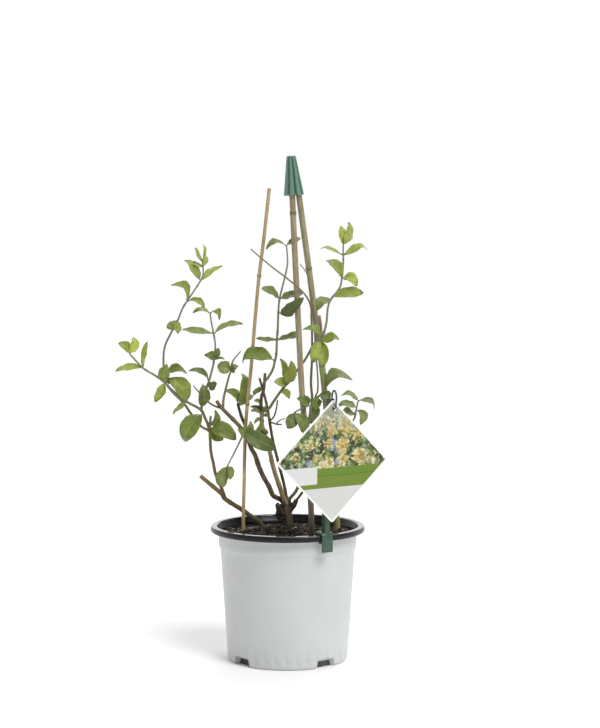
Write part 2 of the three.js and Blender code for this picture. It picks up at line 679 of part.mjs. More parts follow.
        steps: 3,
      },
    ],
    leaves: [
      [5, [-1.6, 1, -26.2], 12.5, 15, 1, 3],
    ],
    twigLeaves: [
      [1, 2, [29.2, -6, 12.1], 13, 25, 1, 11.5], [1, 2, [-5.9, 3, 26.8], 8, 40, 1, 1],
      [1, 1, [-5, -8, -13.9], 12, 20, 1, -1], [1, 1.5, [9.1, -6, -7.1], 14, 25, 2, 0],
    ],
  },
  sprig_front_cane: {
    from: "stem_twining",
    points: [
      [20.5, 8, 246], [24, -6, 262], [24.5, -20, 272], [23.5, -31, 277], [18, -37.5, 276],
      [7.6, -37.5, 270.3],
    ],
    radii: [1.2, 0.9],
    steps: 8,
    leaves: [
      [3, [-13.1, -9, 8.5], 12.5, 22, 1, 1], [5, [-6.8, -5, -17.4], 13.5, 15, 1, 0],
      [5, [10.6, -5, -21.1], 13.5, 18, 1, 3],
    ],
  },
  stem_behind_tag: {
    points: [
      [8.5, 18, 168], [14, 11, 176], [22, 4, 188], [38, -2, 212], [58, -8, 240], [70.9, -12, 260.5],
      [73, -13, 270], [75.5, -14, 280.5],
    ],
    radii: [1.5, 0.9],
    steps: 10,
    leaves: [
      [7, [-17.7, -3, 9.3], 8, 42, 0, 2.6], [7, [19.5, -4, -6.2], 7.5, 42, 0, 4.4],
      [6.3, [-20.9, -6, 3.8], 9.5, 38, 0, 2.6], [5.4, [-13.2, 3, 9.1], 8.5, 40, 0, -1.5],
      [6.1, [4, -7, -15.8], 11.5, 20, 1, 5],
    ],
  },
  sprig_low_left: {
    points: [
      [-46.9, 5, 244], [-50, 0, 238], [-57, -4, 224], [-64.3, -6, 210],
    ],
    radii: [1.1, 0.8],
    steps: 4,
    leaves: [
      [3, [-6.4, -4, -25.3], 14.5, 15, 2, -3.2], [3, [2.4, -8, -14.1], 9, 30, 1, 1.5],
    ],
  },
};

// Leaves that stand on the old wood itself: the branch, the place in its points, and the rest as above.
const crownLeaves = [
  ["leftBranch", 7.7, [-10, -9, 9.5], 12.5, 15, 1, 2], ["leftBranch", 7.6, [4, -7, 19.6], 8.5, 20, 1, 0],
  ["leftBranch", 8.1, [39.3, -14, -19.7], 18, 15, 3, -2], ["darkStub", 5, [9.2, 1, 35.9], 12, 25, 1, 2],
  ["darkStub", 5, [-13.4, -4, 16.6], 10, 35, 0, 3.5], ["darkStub", 4.8, [16.8, 4, 12], 9, 25, 1, 1],
  ["deadStick", 6, [-10.2, -3, -7.6], 7, 30, 1, 0], ["deadStick", 4.6, [-19.8, -10, 7.2], 6.5, 35, 0, 1.5],
  ["cutTwig", 0.2, [-12.2, -4, -25.9], 6, 25, 0, 4.5], ["cutTwig", 1, [-7.3, -5, 4.6], 6, 45, 0, 1],
  ["middleBranch", 6.6, [1.9, -3, 5], 5.5, 20, 1, 0],
];

const woodSides = 6;
const stemSides = 5;
const random = seeded(7);

function leafOn(points, [place, reach, width, turn, arch, sweep]) {
  const root = curveThrough(points).getPoint(place / (points.length - 1));
  return leafBlade(root, reach, width, turn, arch, sweep, random() * Math.PI * 2);
}

const crownTubes = Object.values(crownBranches).map((branch) => tubeOf(branch, woodSides));
const crownBlades = crownLeaves.map(([branch, ...leaf]) => leafOn(crownBranches[branch].points, leaf));
const crownSolid = mainBody(join([...crownTubes, ...crownBlades]));
const lyingSolid = tubeOf(lyingBranch, woodSides);

// What a stem has to keep clear of where it springs from the old wood or from another stem.
const woodSpace = join([
  ...Object.values(crownBranches).map((branch) => tubeOf(branch, woodSides, grownGap)),
  tubeOf(lyingBranch, woodSides, grownGap),
]);

function stemSolid({ points, radii, steps, leaves, twigs = [], twigLeaves = [] }) {
  const tubes = [{ points, radii, steps }, ...twigs].map((tube) => tubeOf(tube, stemSides));
  const blades = leaves.map((leaf) => leafOn(points, leaf));
  const onTwigs = twigLeaves.map(([twig, ...leaf]) => leafOn(twigs[twig].points, leaf));
  return join([...tubes, ...blades, ...onTwigs]);
}

const leafySolids = Object.entries(leafyStems).map(([name, stem]) => {
  const free = stemSolid(stem).subtract(woodSpace);
  if (!stem.from) return [name, mainBody(free)];
  return [name, mainBody(free.subtract(tubeOf(leafyStems[stem.from], stemSides, grownGap)))];
});

// ---- soil ----
// The fill of potting mix, with a lumpy top, a mound at the trunk and a plain hole for all that stands in it.
function soilSolid() {
  const wallGap = pot.wall + gap;
  const top = soil.top;
  const edge = pot.collarRadius - wallGap - soil.wallSlack;
  const profile = [
    [0, pot.floor + gap], [pot.baseRadius - soil.baseInset, pot.floor + gap],
    [pot.footRadius - wallGap - soil.footSlack, soil.footRise],
    [pot.shoulderRadius - wallGap - soil.wallSlack, pot.shoulderHeight],
    [edge, pot.collarFoot + pot.wall], [edge, top], ...soil.rings.map((radius) => [radius, top]),
  ];
  const lathe = new THREE.LatheGeometry(profile.map(([r, z]) => new THREE.Vector2(r, z)), soil.sides);
  lathe.deleteAttribute("normal");
  lathe.deleteAttribute("uv");
  const geometry = mergeVertices(lathe.rotateX(Math.PI / 2), 1e-3);
  const position = geometry.attributes.position;
  for (let i = 0; i < position.count; i += 1) {
    if (position.getZ(i) < top - gap) continue;
    const away = Math.hypot(position.getX(i) - soil.moundCentre[0], position.getY(i) - soil.moundCentre[1]);
    const mound = soil.moundHeight * Math.exp(-((away / soil.moundReach) ** 2));
    position.setZ(i, top + mound + (random() - 0.5) * 2 * soil.lump);
  }
  const holes = [
    ...Object.values(canes).map(caneSpace),
    tubeOf(crownBranches.trunk, woodSides, grownGap),
    tubeOf(lyingBranch, woodSides, grownGap),
  ];
  return mainBody(holes.reduce((body, hole) => body.subtract(hole), toSolid(geometry)));
}

// ---- the assembly ----
const colors = {
  pot: "#d3d4d1",
  soil: "#3a322b",
  wood: "#6b5138",
  lyingWood: "#6d6046",
  leaf: "#6f8f3c",
  cane: "#94865f",
  cap: "#4f8068",
  tag: "#e8eae6",
  holder: "#3a5243",
};

addNode("pot", potSolid, colors.pot, 0.5);
addNode("soil", soilSolid(), colors.soil, 1);
Object.entries(canes).forEach(([name, cane]) => addNode(name, caneSolid(cane), colors.cane, 0.6));
addNode("cane_cap", capSolid(), colors.cap, 0.45);
addNode("crown", crownSolid, colors.wood, 0.85);
addNode("lying_branch", lyingSolid, colors.lyingWood, 0.8);
leafySolids.forEach(([name, solid]) => addNode(name, solid, colors.leaf, 0.55));
addNode("tag", tagSolid(), colors.tag, 0.4);
addNode("tag_holder", holderSolid(), colors.holder, 0.4);

export default part;
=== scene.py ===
import math
import random

import bmesh
import bpy
from mathutils import Matrix, Vector, noise


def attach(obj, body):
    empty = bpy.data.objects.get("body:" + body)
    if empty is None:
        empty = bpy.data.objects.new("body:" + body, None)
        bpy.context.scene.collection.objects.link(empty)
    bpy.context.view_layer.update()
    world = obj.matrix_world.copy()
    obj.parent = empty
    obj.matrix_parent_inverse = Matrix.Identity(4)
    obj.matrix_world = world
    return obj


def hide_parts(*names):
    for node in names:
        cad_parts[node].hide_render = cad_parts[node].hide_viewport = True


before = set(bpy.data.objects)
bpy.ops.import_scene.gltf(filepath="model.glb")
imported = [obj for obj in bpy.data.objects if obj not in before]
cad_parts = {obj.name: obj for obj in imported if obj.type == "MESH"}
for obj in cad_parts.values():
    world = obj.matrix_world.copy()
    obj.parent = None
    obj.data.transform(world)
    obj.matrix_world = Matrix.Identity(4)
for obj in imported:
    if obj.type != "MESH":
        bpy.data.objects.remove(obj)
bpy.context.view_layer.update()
mm = 0.001

scene = bpy.context.scene


def toLinear(hexColour):
    channels = [int(hexColour[i : i + 2], 16) / 255 for i in (1, 3, 5)]
    bent = [c / 12.92 if c <= 0.04045 else ((c + 0.055) / 1.055) ** 2.4 for c in channels]
    return (*bent, 1.0)


# Fills a node's inputs, by socket name or number. Each gets a value, another node's socket, or another node,
# which stands for its first live output.
def feed(node, inputs):
    for name, value in inputs.items():
        if isinstance(value, bpy.types.Node):
            value = next(socket for socket in value.outputs if socket.enabled)
        if isinstance(value, bpy.types.NodeSocket):
            node.id_data.links.new(value, node.inputs[name])
        else:
            node.inputs[name].default_value = value


# Adds one node: its settings by name, its inputs, and the stops of a colour ramp.
def addNode(tree, kind, inputs=None, stops=None, **settings):
    node = tree.nodes.new("ShaderNode" + kind)
    for name, value in settings.items():
        setattr(node, name, value)
    feed(node, inputs or {})
    if stops:
        ramp = node.color_ramp
        while len(ramp.elements) < len(stops):
            ramp.elements.new(0.5)
        for element, (position, colour) in zip(ramp.elements, stops):
            element.position = position
            element.color = toLinear(colour)
    return node


# Starts a material with a Principled shader; constants go straight on its sockets.
def newMaterial(name, **constants):
    material = bpy.data.materials.new(name)
    material.use_nodes = True
    tree = material.node_tree
    shader = tree.nodes["Principled BSDF"]
    for key, value in constants.items():
        shader.inputs[key.replace("_", " ")].default_value = value
    return material, tree, shader


def finishMesh(name, bm, materials, smooth=True):
    mesh = bpy.data.meshes.new(name)
    bm.to_mesh(mesh)
    bm.free()
    for material in materials:
        mesh.materials.append(material)
    if smooth:
        mesh.polygons.foreach_set("use_smooth", [True] * len(mesh.polygons))
    piece = bpy.data.objects.new(name, mesh)
    scene.collection.objects.link(piece)
    return piece


# Puts a finished piece on the plant's one body, in place of the CAD nodes it stands for.
def place(piece, slotName, *nodes):
    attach(piece, "root")
    if nodes:
        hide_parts(*nodes)
    return piece


# Turns the live modifiers of a piece into mesh.
def applyModifiers(piece):
    graph = bpy.context.evaluated_depsgraph_get()
    made = bpy.data.meshes.new_from_object(piece.evaluated_get(graph))
    piece.modifiers.clear()
    piece.data = made
    return piece


# Cuts one piece out of another and throws the cutter away.
def cutAway(piece, cutter, **settings):
    cut = piece.modifiers.new("cut", "BOOLEAN")
    cut.object = cutter
    cut.solver = "EXACT"
    for name, value in settings.items():
        setattr(cut, name, value)
    applyModifiers(piece)
    bpy.data.objects.remove(cutter)


# Spins an outline of (radius, height) points in mm round the upright axis into one skin.
def spinOutline(outline, steps):
    bm = bmesh.new()
    verts = [bm.verts.new((r * mm, 0, z * mm)) for r, z in outline]
    for a, b in zip(verts, verts[1:]):
        bm.edges.new((a, b))
    bmesh.ops.spin(
        bm, geom=bm.verts[:] + bm.edges[:], cent=(0, 0, 0), axis=(0, 0, 1), dvec=(0, 0, 0),
        angle=2 * math.pi, steps=steps, use_merge=True, use_duplicate=False,
    )
    bmesh.ops.remove_doubles(bm, verts=bm.verts, dist=0.01 * mm)
    bmesh.ops.recalc_face_normals(bm, faces=bm.faces)
    return bm


# A point on the smooth line through a list of points. at counts points: 2.5 is between the third and fourth.
def onLine(points, at):
    last = len(points) - 1
    at = min(max(at, 0), last)
    i = min(int(at), last - 1)
    u = at - i
    p1 = Vector(points[i])
    p2 = Vector(points[i + 1])
    p0 = Vector(points[i - 1]) if i > 0 else 2 * p1 - p2
    p3 = Vector(points[i + 2]) if i + 2 <= last else 2 * p2 - p1
    t1 = (p2 - p0) / 2
    t2 = (p3 - p1) / 2
    return p1 + t1 * u + (3 * (p2 - p1) - 2 * t1 - t2) * u * u + (2 * (p1 - p2) + t1 + t2) * u ** 3


# Camera, floor and light: a white studio, lit softly from behind and above and by one broad sun.
cameraSet = {"place": (13.3, -2000, 461), "pitchDown": 0.071, "lens": 92.47, "sensor": 36}
studio = {
    "floorSize": 12,
    "floorColours": ("#fbfbfa", "#fefefd"),
    "domeFront": 0.38,  # the dome's light on the camera's side and behind the plant
    "domeBack": 0.97,
    "backdrop": 1.0,  # how bright the empty studio looks
    "key": {"turn": 38, "height": 48, "softness": 30, "strength": 2.03},  # degrees, and W per square metre
    "topLamp": {"place": (0.15, 0.9, 1.9), "aim": (0, 0, 0.2), "size": 0.9, "power": 9},  # metres and W
}


def makeCamera():
    camera = bpy.data.objects.new("camera", bpy.data.cameras.new("camera"))
    camera.data.lens = cameraSet["lens"]
    camera.data.sensor_width = cameraSet["sensor"]
    camera.location = Vector(cameraSet["place"]) * mm
    camera.rotation_euler = (math.pi / 2 - cameraSet["pitchDown"], 0, 0)
    scene.collection.objects.link(camera)
    scene.camera = camera


# Matt white paper.
def studioPaper():
    material, tree, shader = newMaterial("studioPaper", Roughness=0.9)
    spot = addNode(tree, "TexCoord").outputs["Object"]
    grain = addNode(tree, "TexNoise", {"Vector": spot, "Scale": 3.0, "Detail": 2.0})
    tint = addNode(tree, "ValToRGB", {"Fac": grain}, stops=list(zip((0.3, 0.7), studio["floorColours"])))
    feed(shader, {"Base Color": tint})
    return material


# The dome is dimmer on the camera's side, and the camera itself sees plain white.
def makeDome():
    world = bpy.data.worlds.new("studioDome")
    scene.world = world
    world.use_nodes = True
    tree = world.node_tree
    axes = addNode(tree, "SeparateXYZ", {0: addNode(tree, "TexCoord").outputs["Generated"]})
    glow = addNode(
        tree, "MapRange", {"Value": axes.outputs["Y"], "From Min": -0.3, "From Max": 0.7,
                           "To Min": studio["domeFront"], "To Max": studio["domeBack"]},
    )
    rays = addNode(tree, "LightPath")
    level = addNode(tree, "Mix", {0: rays.outputs["Is Camera Ray"], 2: glow, 3: studio["backdrop"]})
    feed(tree.nodes["Background"], {"Color": (1, 1, 1, 1), "Strength": level})


def addLight(name, kind, **settings):
    light = bpy.data.lights.new(name, kind)
    for key, value in settings.items():
        setattr(light, key, value)
    lamp = bpy.data.objects.new(name, light)
    scene.collection.objects.link(lamp)
    return lamp


def makeStudio():
    bm = bmesh.new()
    bmesh.ops.create_grid(bm, x_segments=1, y_segments=1, size=studio["floorSize"] / 2)
    finishMesh("studioFloor", bm, [studioPaper()], smooth=False)
    makeDome()
    key, top = studio["key"], studio["topLamp"]
    sun = addLight("key", "SUN", angle=math.radians(key["softness"]), energy=key["strength"])
    sun.rotation_euler = (math.radians(90 - key["height"]), 0, math.radians(key["turn"]))
    lamp = addLight("topLamp", "AREA", size=top["size"], energy=top["power"])
    lamp.location = top["place"]
    lamp.rotation_euler = (Vector(top["aim"]) - lamp.location).to_track_quat("-Z", "Y").to_euler()
    scene.view_settings.view_transform = "Standard"
    print("studio ready")


makeCamera()
makeStudio()

# The pot is blow-formed polyethylene, with a white skin outside and a black one inside.
pot = {
    "height": 145,
    "rim": 83,
    "collar": 74.3,
    "wall": 1.5,
    "steps": 240,
    "lipTop": 144.3,  # heights where the lip's flat top and the lip begin
    "lipFoot": 138.2,
    "lipWall": (74, 74.5),  # radii inside and outside the wall below the lip
    "dustTop": 133.5,  # dry mix clings to the inside up to here
    "flutes": {"count": 36, "depth": 1.7, "radius": 64.2, "foot": 1.5, "top": 14, "slant": 0.28},
    "drainAngles": (40, 130, 220, 310),
    "drainReach": (68, 57),  # radii of the drain's outer and inner ends
    "drainOuter": ((15, -1), (11.5, 11.4)),  # half the width and the height, at its foot and top
    "drainInner": ((12, -1), (9.5, 6)),
    "white": ("#c1c4c3", "#c7cac9"),
    "black": ("#0d0e0d", "#121312", "#191a18"),
    "wallDust": ("#2e2e2a", "#4a4a43", "#64635a"),
}


# The white skin: satin polyethylene with faint cloudy patches, rubbed in upright streaks.
def potWhite():
    material, tree, shader = newMaterial("whitePolyethylene", IOR=1.5)
    spot = addNode(tree, "TexCoord").outputs["Object"]
    cloud = addNode(tree, "TexNoise", {"Vector": spot, "Scale": 22.0, "Detail": 4.0})
    skin = addNode(tree, "ValToRGB", {"Fac": cloud}, stops=list(zip((0.3, 0.7), pot["white"])))
    stretched = addNode(tree, "Mapping", {"Vector": spot, "Scale": (1, 1, 0.06)})
    rub = addNode(tree, "TexNoise", {"Vector": stretched, "Scale": 900.0, "Detail": 3.0})  # 1 mm streaks
    rubbed = addNode(
        tree, "MapRange", {"Value": rub, "From Min": 0.3, "From Max": 0.7, "To Min": 0.36, "To Max": 0.5},
    )
    bump = addNode(tree, "Bump", {"Height": cloud, "Strength": 0.12, "Distance": 0.6 * mm})
    feed(shader, {"Base Color": skin, "Roughness": rubbed, "Normal": bump})
    return material


# The black skin: the same plastic with carbon black. It is polished on the lip's flat top and dusted with dry
# mix inside.
def potBlack(name, colours, roughness, **constants):
    material, tree, shader = newMaterial(name, IOR=1.5, **constants)
    spot = addNode(tree, "TexCoord").outputs["Object"]
    dust = addNode(tree, "TexNoise", {"Vector": spot, "Scale": 160.0, "Detail": 5.0})
    skin = addNode(tree, "ValToRGB", {"Fac": dust}, stops=list(zip((0.3, 0.5, 0.7), colours)))
    rough = addNode(
        tree, "MapRange", {"Value": dust, "From Min": 0.3, "From Max": 0.7,
                           "To Min": roughness[0], "To Max": roughness[1]},
    )
    feed(shader, {"Base Color": skin, "Roughness": rough})
    return material


# Presses slanted flutes into the foot.
def pressFlutes(bm):
    flutes = pot["flutes"]
    for vert in bm.verts:
        radius = math.hypot(vert.co.x, vert.co.y) / mm
        height = vert.co.z / mm
        if radius > flutes["radius"] and flutes["foot"] < height < flutes["top"]:
            turn = math.atan2(vert.co.y, vert.co.x) * flutes["count"] + height * flutes["slant"]
            fade = math.sin(math.pi * min(1, (flutes["top"] - height) / 11))
            dent = flutes["depth"] * max(0, math.sin(turn)) ** 2 * max(0, fade)
            vert.co.x *= 1 - dent / radius
            vert.co.y *= 1 - dent / radius


# Each drain is a slanted recess pressed into the foot, which narrows to a low dark slot.
def makeDrainCutters():
    bm = bmesh.new()
    for degrees in pot["drainAngles"]:
        made = bmesh.ops.create_cube(bm, size=1)["verts"]
        for face in made[0].link_faces[:] + made[-1].link_faces[:]:
            if face.calc_center_median().y > 0.4:  # the slot's inner end: the dusty black inner skin, which also paints the shade of the hole behind the slot
                face.material_index = 1
        for vert in made:
            inner, upper = vert.co.y > 0, vert.co.z > 0
            half, height = pot["drainInner" if inner else "drainOuter"][upper]
            vert.co = Vector((math.copysign(half, vert.co.x), -pot["drainReach"][inner], height)) * mm
        turn = Matrix.Rotation(math.radians(degrees), 4, "Z")
        bmesh.ops.rotate(bm, verts=made, cent=(0, 0, 0), matrix=turn)
    bmesh.ops.recalc_face_normals(bm, faces=bm.faces)
    skins = [bpy.data.materials[name] for name in ("whitePolyethylene", "dustyBlackPolyethylene")]
    return finishMesh("drainCutters", bm, skins, smooth=False)


def makePot():
    outline = [  # up the outside, over the lip and down the inside
        (0.001, 0), (30, 0), (60, 0), (62.6, 0.2), (63.8, 1), (64.4, 2.4), (64.8, 4.5), (65, 7), (65.2, 10),
        (65.5, 14), (66.2, 24), (68.2, 55), (70.4, 88), (72.2, 115), (72.6, 120.3), (72.9, 121.2),
        (73.9, 122.7), (74.3, 123.6), (74.35, 130), (74.4, 136.8), (74.9, 137.9), (76, 138.4), (79, 138.5),
        (81.6, 138.6), (82.6, 139.2), (83, 140.2), (83, 142.4), (82.9, 143.4), (82.5, 144.3), (81.9, 144.8),
        (81.4, 145), (81.1, 145), (77.3, 145), (77, 145), (76.4, 144.7), (75.9, 144), (75.6, 141.6),
        (73.8, 139.2), (72.9, 137), (72.8, 131), (72.8, 124), (71.2, 121), (70.4, 110), (68.4, 80),
        (66.2, 45), (64.4, 20), (62, 15), (55, 12.5), (30, 12), (0.001, 12),
    ]
    bm = spinOutline(outline, pot["steps"])
    pressFlutes(bm)
    white, black, dusty, polished = range(4)
    within, without = pot["lipWall"]
    for face in bm.faces:
        centre = face.calc_center_median() / mm
        radius = math.hypot(centre.x, centre.y)
        inwards = face.normal.x * centre.x + face.normal.y * centre.y < 0
        if centre.z > pot["lipTop"]:
            face.material_index = polished
        elif centre.z > pot["lipFoot"] and radius > without or centre.z > pot["dustTop"] and radius < within:
            face.material_index = black
        elif centre.z > 1 and (inwards or face.normal.z > 0.5):
            face.material_index = dusty
        else:
            face.material_index = white
    skins = [
        potWhite(), potBlack("blackPolyethylene", pot["black"], (0.25, 0.33), Specular_IOR_Level=0.3),
        potBlack("dustyBlackPolyethylene", pot["wallDust"], (0.4, 0.6)),
        potBlack("polishedBlackPolyethylene", pot["black"], (0.04, 0.07), Coat_Weight=1, Coat_Roughness=0.05),
    ]
    piece = finishMesh("potBody", bm, skins)
    cutAway(piece, makeDrainCutters(), material_mode="TRANSFER")
    place(piece, "pot_plastic", "pot")
    print("pot ready")


makePot()

# The potting mix is peat and composted bark, with perlite.
soil = {
    "radius": 72.4,
    "top": 133.6,
    "rings": 64,
    "steps": 200,
    "mounds": ((-2, 18, 8, 28), (-44, 6, 5.5, 28), (24, -4, 4, 26)),  # place, height and reach
    "lumps": (13, 2.4),  # spacing and height of the unevenness, coarse and fine
    "crumbs": (3.1, 0.8),
    "wallHold": 64,  # past this radius the mix climbs a little to the wall
    "wallRise": 0.12,
    "skirt": ((118, 70.4), (60, 67.2), (17, 61), (13, 50)),  # heights and radii down the pot's inside
    "clods": 420,
    "clodSize": (1, 3.6),
    "clodSpread": 68,  # radii within which clods lie, and chips and perlite
    "chipSpread": 69,
    "chips": 430,
    "chipSizes": ((0.9, 3.4), (0.5, 1.5), (0.3, 0.7)),
    "perlite": 190,
    "perliteSizes": ((0.35, 1.05), (0.4, 0.9)),
}


def soilHeight(x, y):
    hill = 0
    for moundX, moundY, rise, reach in soil["mounds"]:
        hill += rise * max(0, 1 - (math.hypot(x - moundX, y - moundY) / reach) ** 2)
    coarse, lump = soil["lumps"]
    fine, crumb = soil["crumbs"]
    rough = lump * noise.fractal((x / coarse, y / coarse, 0.3), 0.8, 2.1, 5)
    rough += crumb * noise.noise((x / fine, y / fine, 4))
    return soil["top"] + hill + rough + max(0, math.hypot(x, y) - soil["wallHold"]) * soil["wallRise"]


# Peat: nearly black when moist, brown where it has dried, full of fine crumbs.
def peatMix():
    material, tree, shader = newMaterial("moistPeatMix", Roughness=0.92)
    spot = addNode(tree, "TexCoord").outputs["Object"]
    damp = addNode(tree, "TexNoise", {"Vector": spot, "Scale": 95.0, "Detail": 8.0, "Roughness": 0.7})
    crumb = addNode(tree, "TexVoronoi", {"Vector": spot, "Scale": 700.0})  # crumbs of 1.4 mm
    stops = [(0.36, "#15120e"), (0.48, "#2a251c"), (0.58, "#4b4231"), (0.7, "#726850")]
    skin = addNode(tree, "ValToRGB", {"Fac": damp}, stops=stops)
    bump = addNode(tree, "Bump", {"Height": crumb, "Strength": 0.8, "Distance": 0.9 * mm})
    feed(shader, {"Base Color": skin, "Normal": bump})
    return material


# Composted pine bark: flat chips, darker and redder when moist.
def barkChip():
    material, tree, shader = newMaterial("compostedPineBark", Roughness=0.85)
    spot = addNode(tree, "TexCoord").outputs["Object"]
    each = addNode(tree, "TexNoise", {"Vector": spot, "Scale": 120.0, "Detail": 1.0})
    stops = [(0.3, "#2a241b"), (0.45, "#4a402f"), (0.56, "#6c604a"), (0.68, "#918468"), (0.8, "#96573c")]
    skin = addNode(tree, "ValToRGB", {"Fac": each}, stops=stops)
    layers = addNode(tree, "TexNoise", {"Vector": spot, "Scale": 900.0, "Detail": 4.0})
    bump = addNode(tree, "Bump", {"Height": layers, "Strength": 0.6, "Distance": 0.5 * mm})
    feed(shader, {"Base Color": skin, "Normal": bump})
    return material


# Perlite: puffed white glass, matt, with brown dust in its pores.
def perliteGrain():
    material, tree, shader = newMaterial("expandedPerlite", Roughness=0.75, IOR=1.5)
    spot = addNode(tree, "TexCoord").outputs["Object"]
    pores = addNode(tree, "TexNoise", {"Vector": spot, "Scale": 1100.0, "Detail": 3.0})
    stops = [(0.36, "#7d7464"), (0.5, "#d6d2c6"), (0.7, "#f1efe8")]
    skin = addNode(tree, "ValToRGB", {"Fac": pores}, stops=stops)
    feed(shader, {"Base Color": skin})
    return material


# Adds a lump: a ball of few faces, squashed, dented and turned.
def addLump(bm, centre, sizes, draw, faces=1, dent=0.3):
    made = bmesh.ops.create_icosphere(bm, subdivisions=faces, radius=1)["verts"]
    turn = Matrix.Rotation(draw.uniform(0, 6.28), 3, "Z") @ Matrix.Rotation(draw.uniform(-0.5, 0.5), 3, "X")
    shift = draw.uniform(0, 90)
    for vert in made:
        swell = 1 + dent * noise.noise(vert.co * 1.6 + Vector((shift, 0, 0)))
        flat = Vector((vert.co.x * sizes[0], vert.co.y * sizes[1], vert.co.z * sizes[2])) * swell
        vert.co = (turn @ flat + Vector(centre)) * mm
    return made


# A random spot on the soil within a radius.
def randomSpot(radius, draw):
    turn, reach = draw.uniform(0, 6.283), radius * math.sqrt(draw.random())
    return reach * math.cos(turn), reach * math.sin(turn)


# The mix fills the pot: a rough top, then a skirt down the pot's inside to its floor.
def makeSoil():
    draw = random.Random(41)
    rings = soil["rings"]
    bm = spinOutline([(soil["radius"] * i / rings, 0) for i in range(rings + 1)], soil["steps"])
    for vert in bm.verts:
        vert.co.z = soilHeight(vert.co.x / mm, vert.co.y / mm) * mm
    rim = [edge for edge in bm.edges if edge.is_boundary]
    for level, radius in soil["skirt"]:
        rim = bmesh.ops.extrude_edge_only(bm, edges=rim)["geom"]
        for vert in [item for item in rim if isinstance(item, bmesh.types.BMVert)]:
            reach = math.hypot(vert.co.x, vert.co.y)
            vert.co = (vert.co.x / reach * radius * mm, vert.co.y / reach * radius * mm, level * mm)
        rim = [item for item in rim if isinstance(item, bmesh.types.BMEdge)]
    bmesh.ops.contextual_create(bm, geom=rim)
    bmesh.ops.recalc_face_normals(bm, faces=bm.faces)
    for _ in range(soil["clods"]):
        x, y = randomSpot(soil["clodSpread"], draw)
        clod = draw.uniform(*soil["clodSize"])
        addLump(bm, (x, y, soilHeight(x, y) + 0.1 * clod), (clod, clod * 0.8, clod * 0.6), draw, 2, 0.8)
    place(finishMesh("soilFill", bm, [peatMix()]), "potting_mix", "soil")

    def chipSize():
        return [draw.uniform(*span) for span in soil["chipSizes"]]

    def grainSize():
        across, tall = [draw.uniform(*span) for span in soil["perliteSizes"]]
        return across, across, tall

    kinds = (
        ("barkChips", barkChip(), soil["chips"], chipSize),
        ("perliteGrains", perliteGrain(), soil["perlite"], grainSize),
    )
    for name, material, count, pickSize in kinds:
        bm = bmesh.new()
        for _ in range(count):
            x, y = randomSpot(soil["chipSpread"], draw)
            addLump(bm, (x, y, soilHeight(x, y) + 0.7), pickSize(), draw, 1, 0.5)
        place(finishMesh(name, bm, [material], smooth=name != "barkChips"), "potting_mix", "soil")
    print("soil ready")


makeSoil()


# Even steps along the smooth line through the points: centres, directions and the length. Canes, stems and
# wire are rods, which are grids bent round such a line.
def evenSteps(points, steps):
    parts = 240
    fine = [onLine(points, i * (len(points) - 1) / parts) for i in range(parts + 1)]
    run = [0.0]
    for a, b in zip(fine, fine[1:]):
        run.append(run[-1] + (b - a).length)
    centres = []
    at = 0
    for i in range(steps + 1):
        goal = run[-1] * i / steps
        while at < parts - 1 and run[at + 1] < goal:
            at += 1
        centres.append(fine[at].lerp(fine[at + 1], (goal - run[at]) / max(run[at + 1] - run[at], 1e-9)))
    ways = [(centres[min(i + 1, steps)] - centres[max(i - 1, 0)]).normalized() for i in range(steps + 1)]
    return centres, ways, run[-1]


# Adds a closed rod to a mesh. thick gives the radius in mm for a share of the length and an angle, and tone
# is one value or gives one for a share of the length.
def addRod(bm, points, thick, steps, sides, tone=0.5):
    centres, ways, length = evenSteps(points, steps)
    side = ways[0].orthogonal().normalized()
    frames = []
    for way in ways:
        side = (side - way * side.dot(way)).normalized()
        frames.append((side, way.cross(side)))
    uvs = bm.loops.layers.uv.get("UVMap") or bm.loops.layers.uv.new("UVMap")
    tones = bm.verts.layers.float.get("tone") or bm.verts.layers.float.new("tone")
    columns = steps + 2  # one more at each end closes the rod
    made = bmesh.ops.create_grid(bm, x_segments=columns, y_segments=sides, size=0.5, calc_uvs=True)["verts"]
    inGrid = set(made)
    girth = 2 * math.pi * thick(0.5, 0)
    for face in [face for face in bm.faces if face.verts[0] in inGrid]:
        for loop in face.loops:
            u, v = loop[uvs].uv
            loop[uvs].uv = (u * length / 10, v * girth / 10)  # 1 on the map is 10 mm
    for vert in made:
        column = round((vert.co.x + 0.5) * columns)
        angle = (vert.co.y + 0.5) * 2 * math.pi
        step = min(max(column - 1, 0), steps)
        radius = 0 if column in (0, columns) else thick(step / steps, angle)
        across, over = frames[step]
        vert.co = (centres[step] + (across * math.cos(angle) + over * math.sin(angle)) * radius) * mm
        vert[tones] = tone(step / steps) if callable(tone) else tone
    bmesh.ops.remove_doubles(bm, verts=made, dist=0.002 * mm)


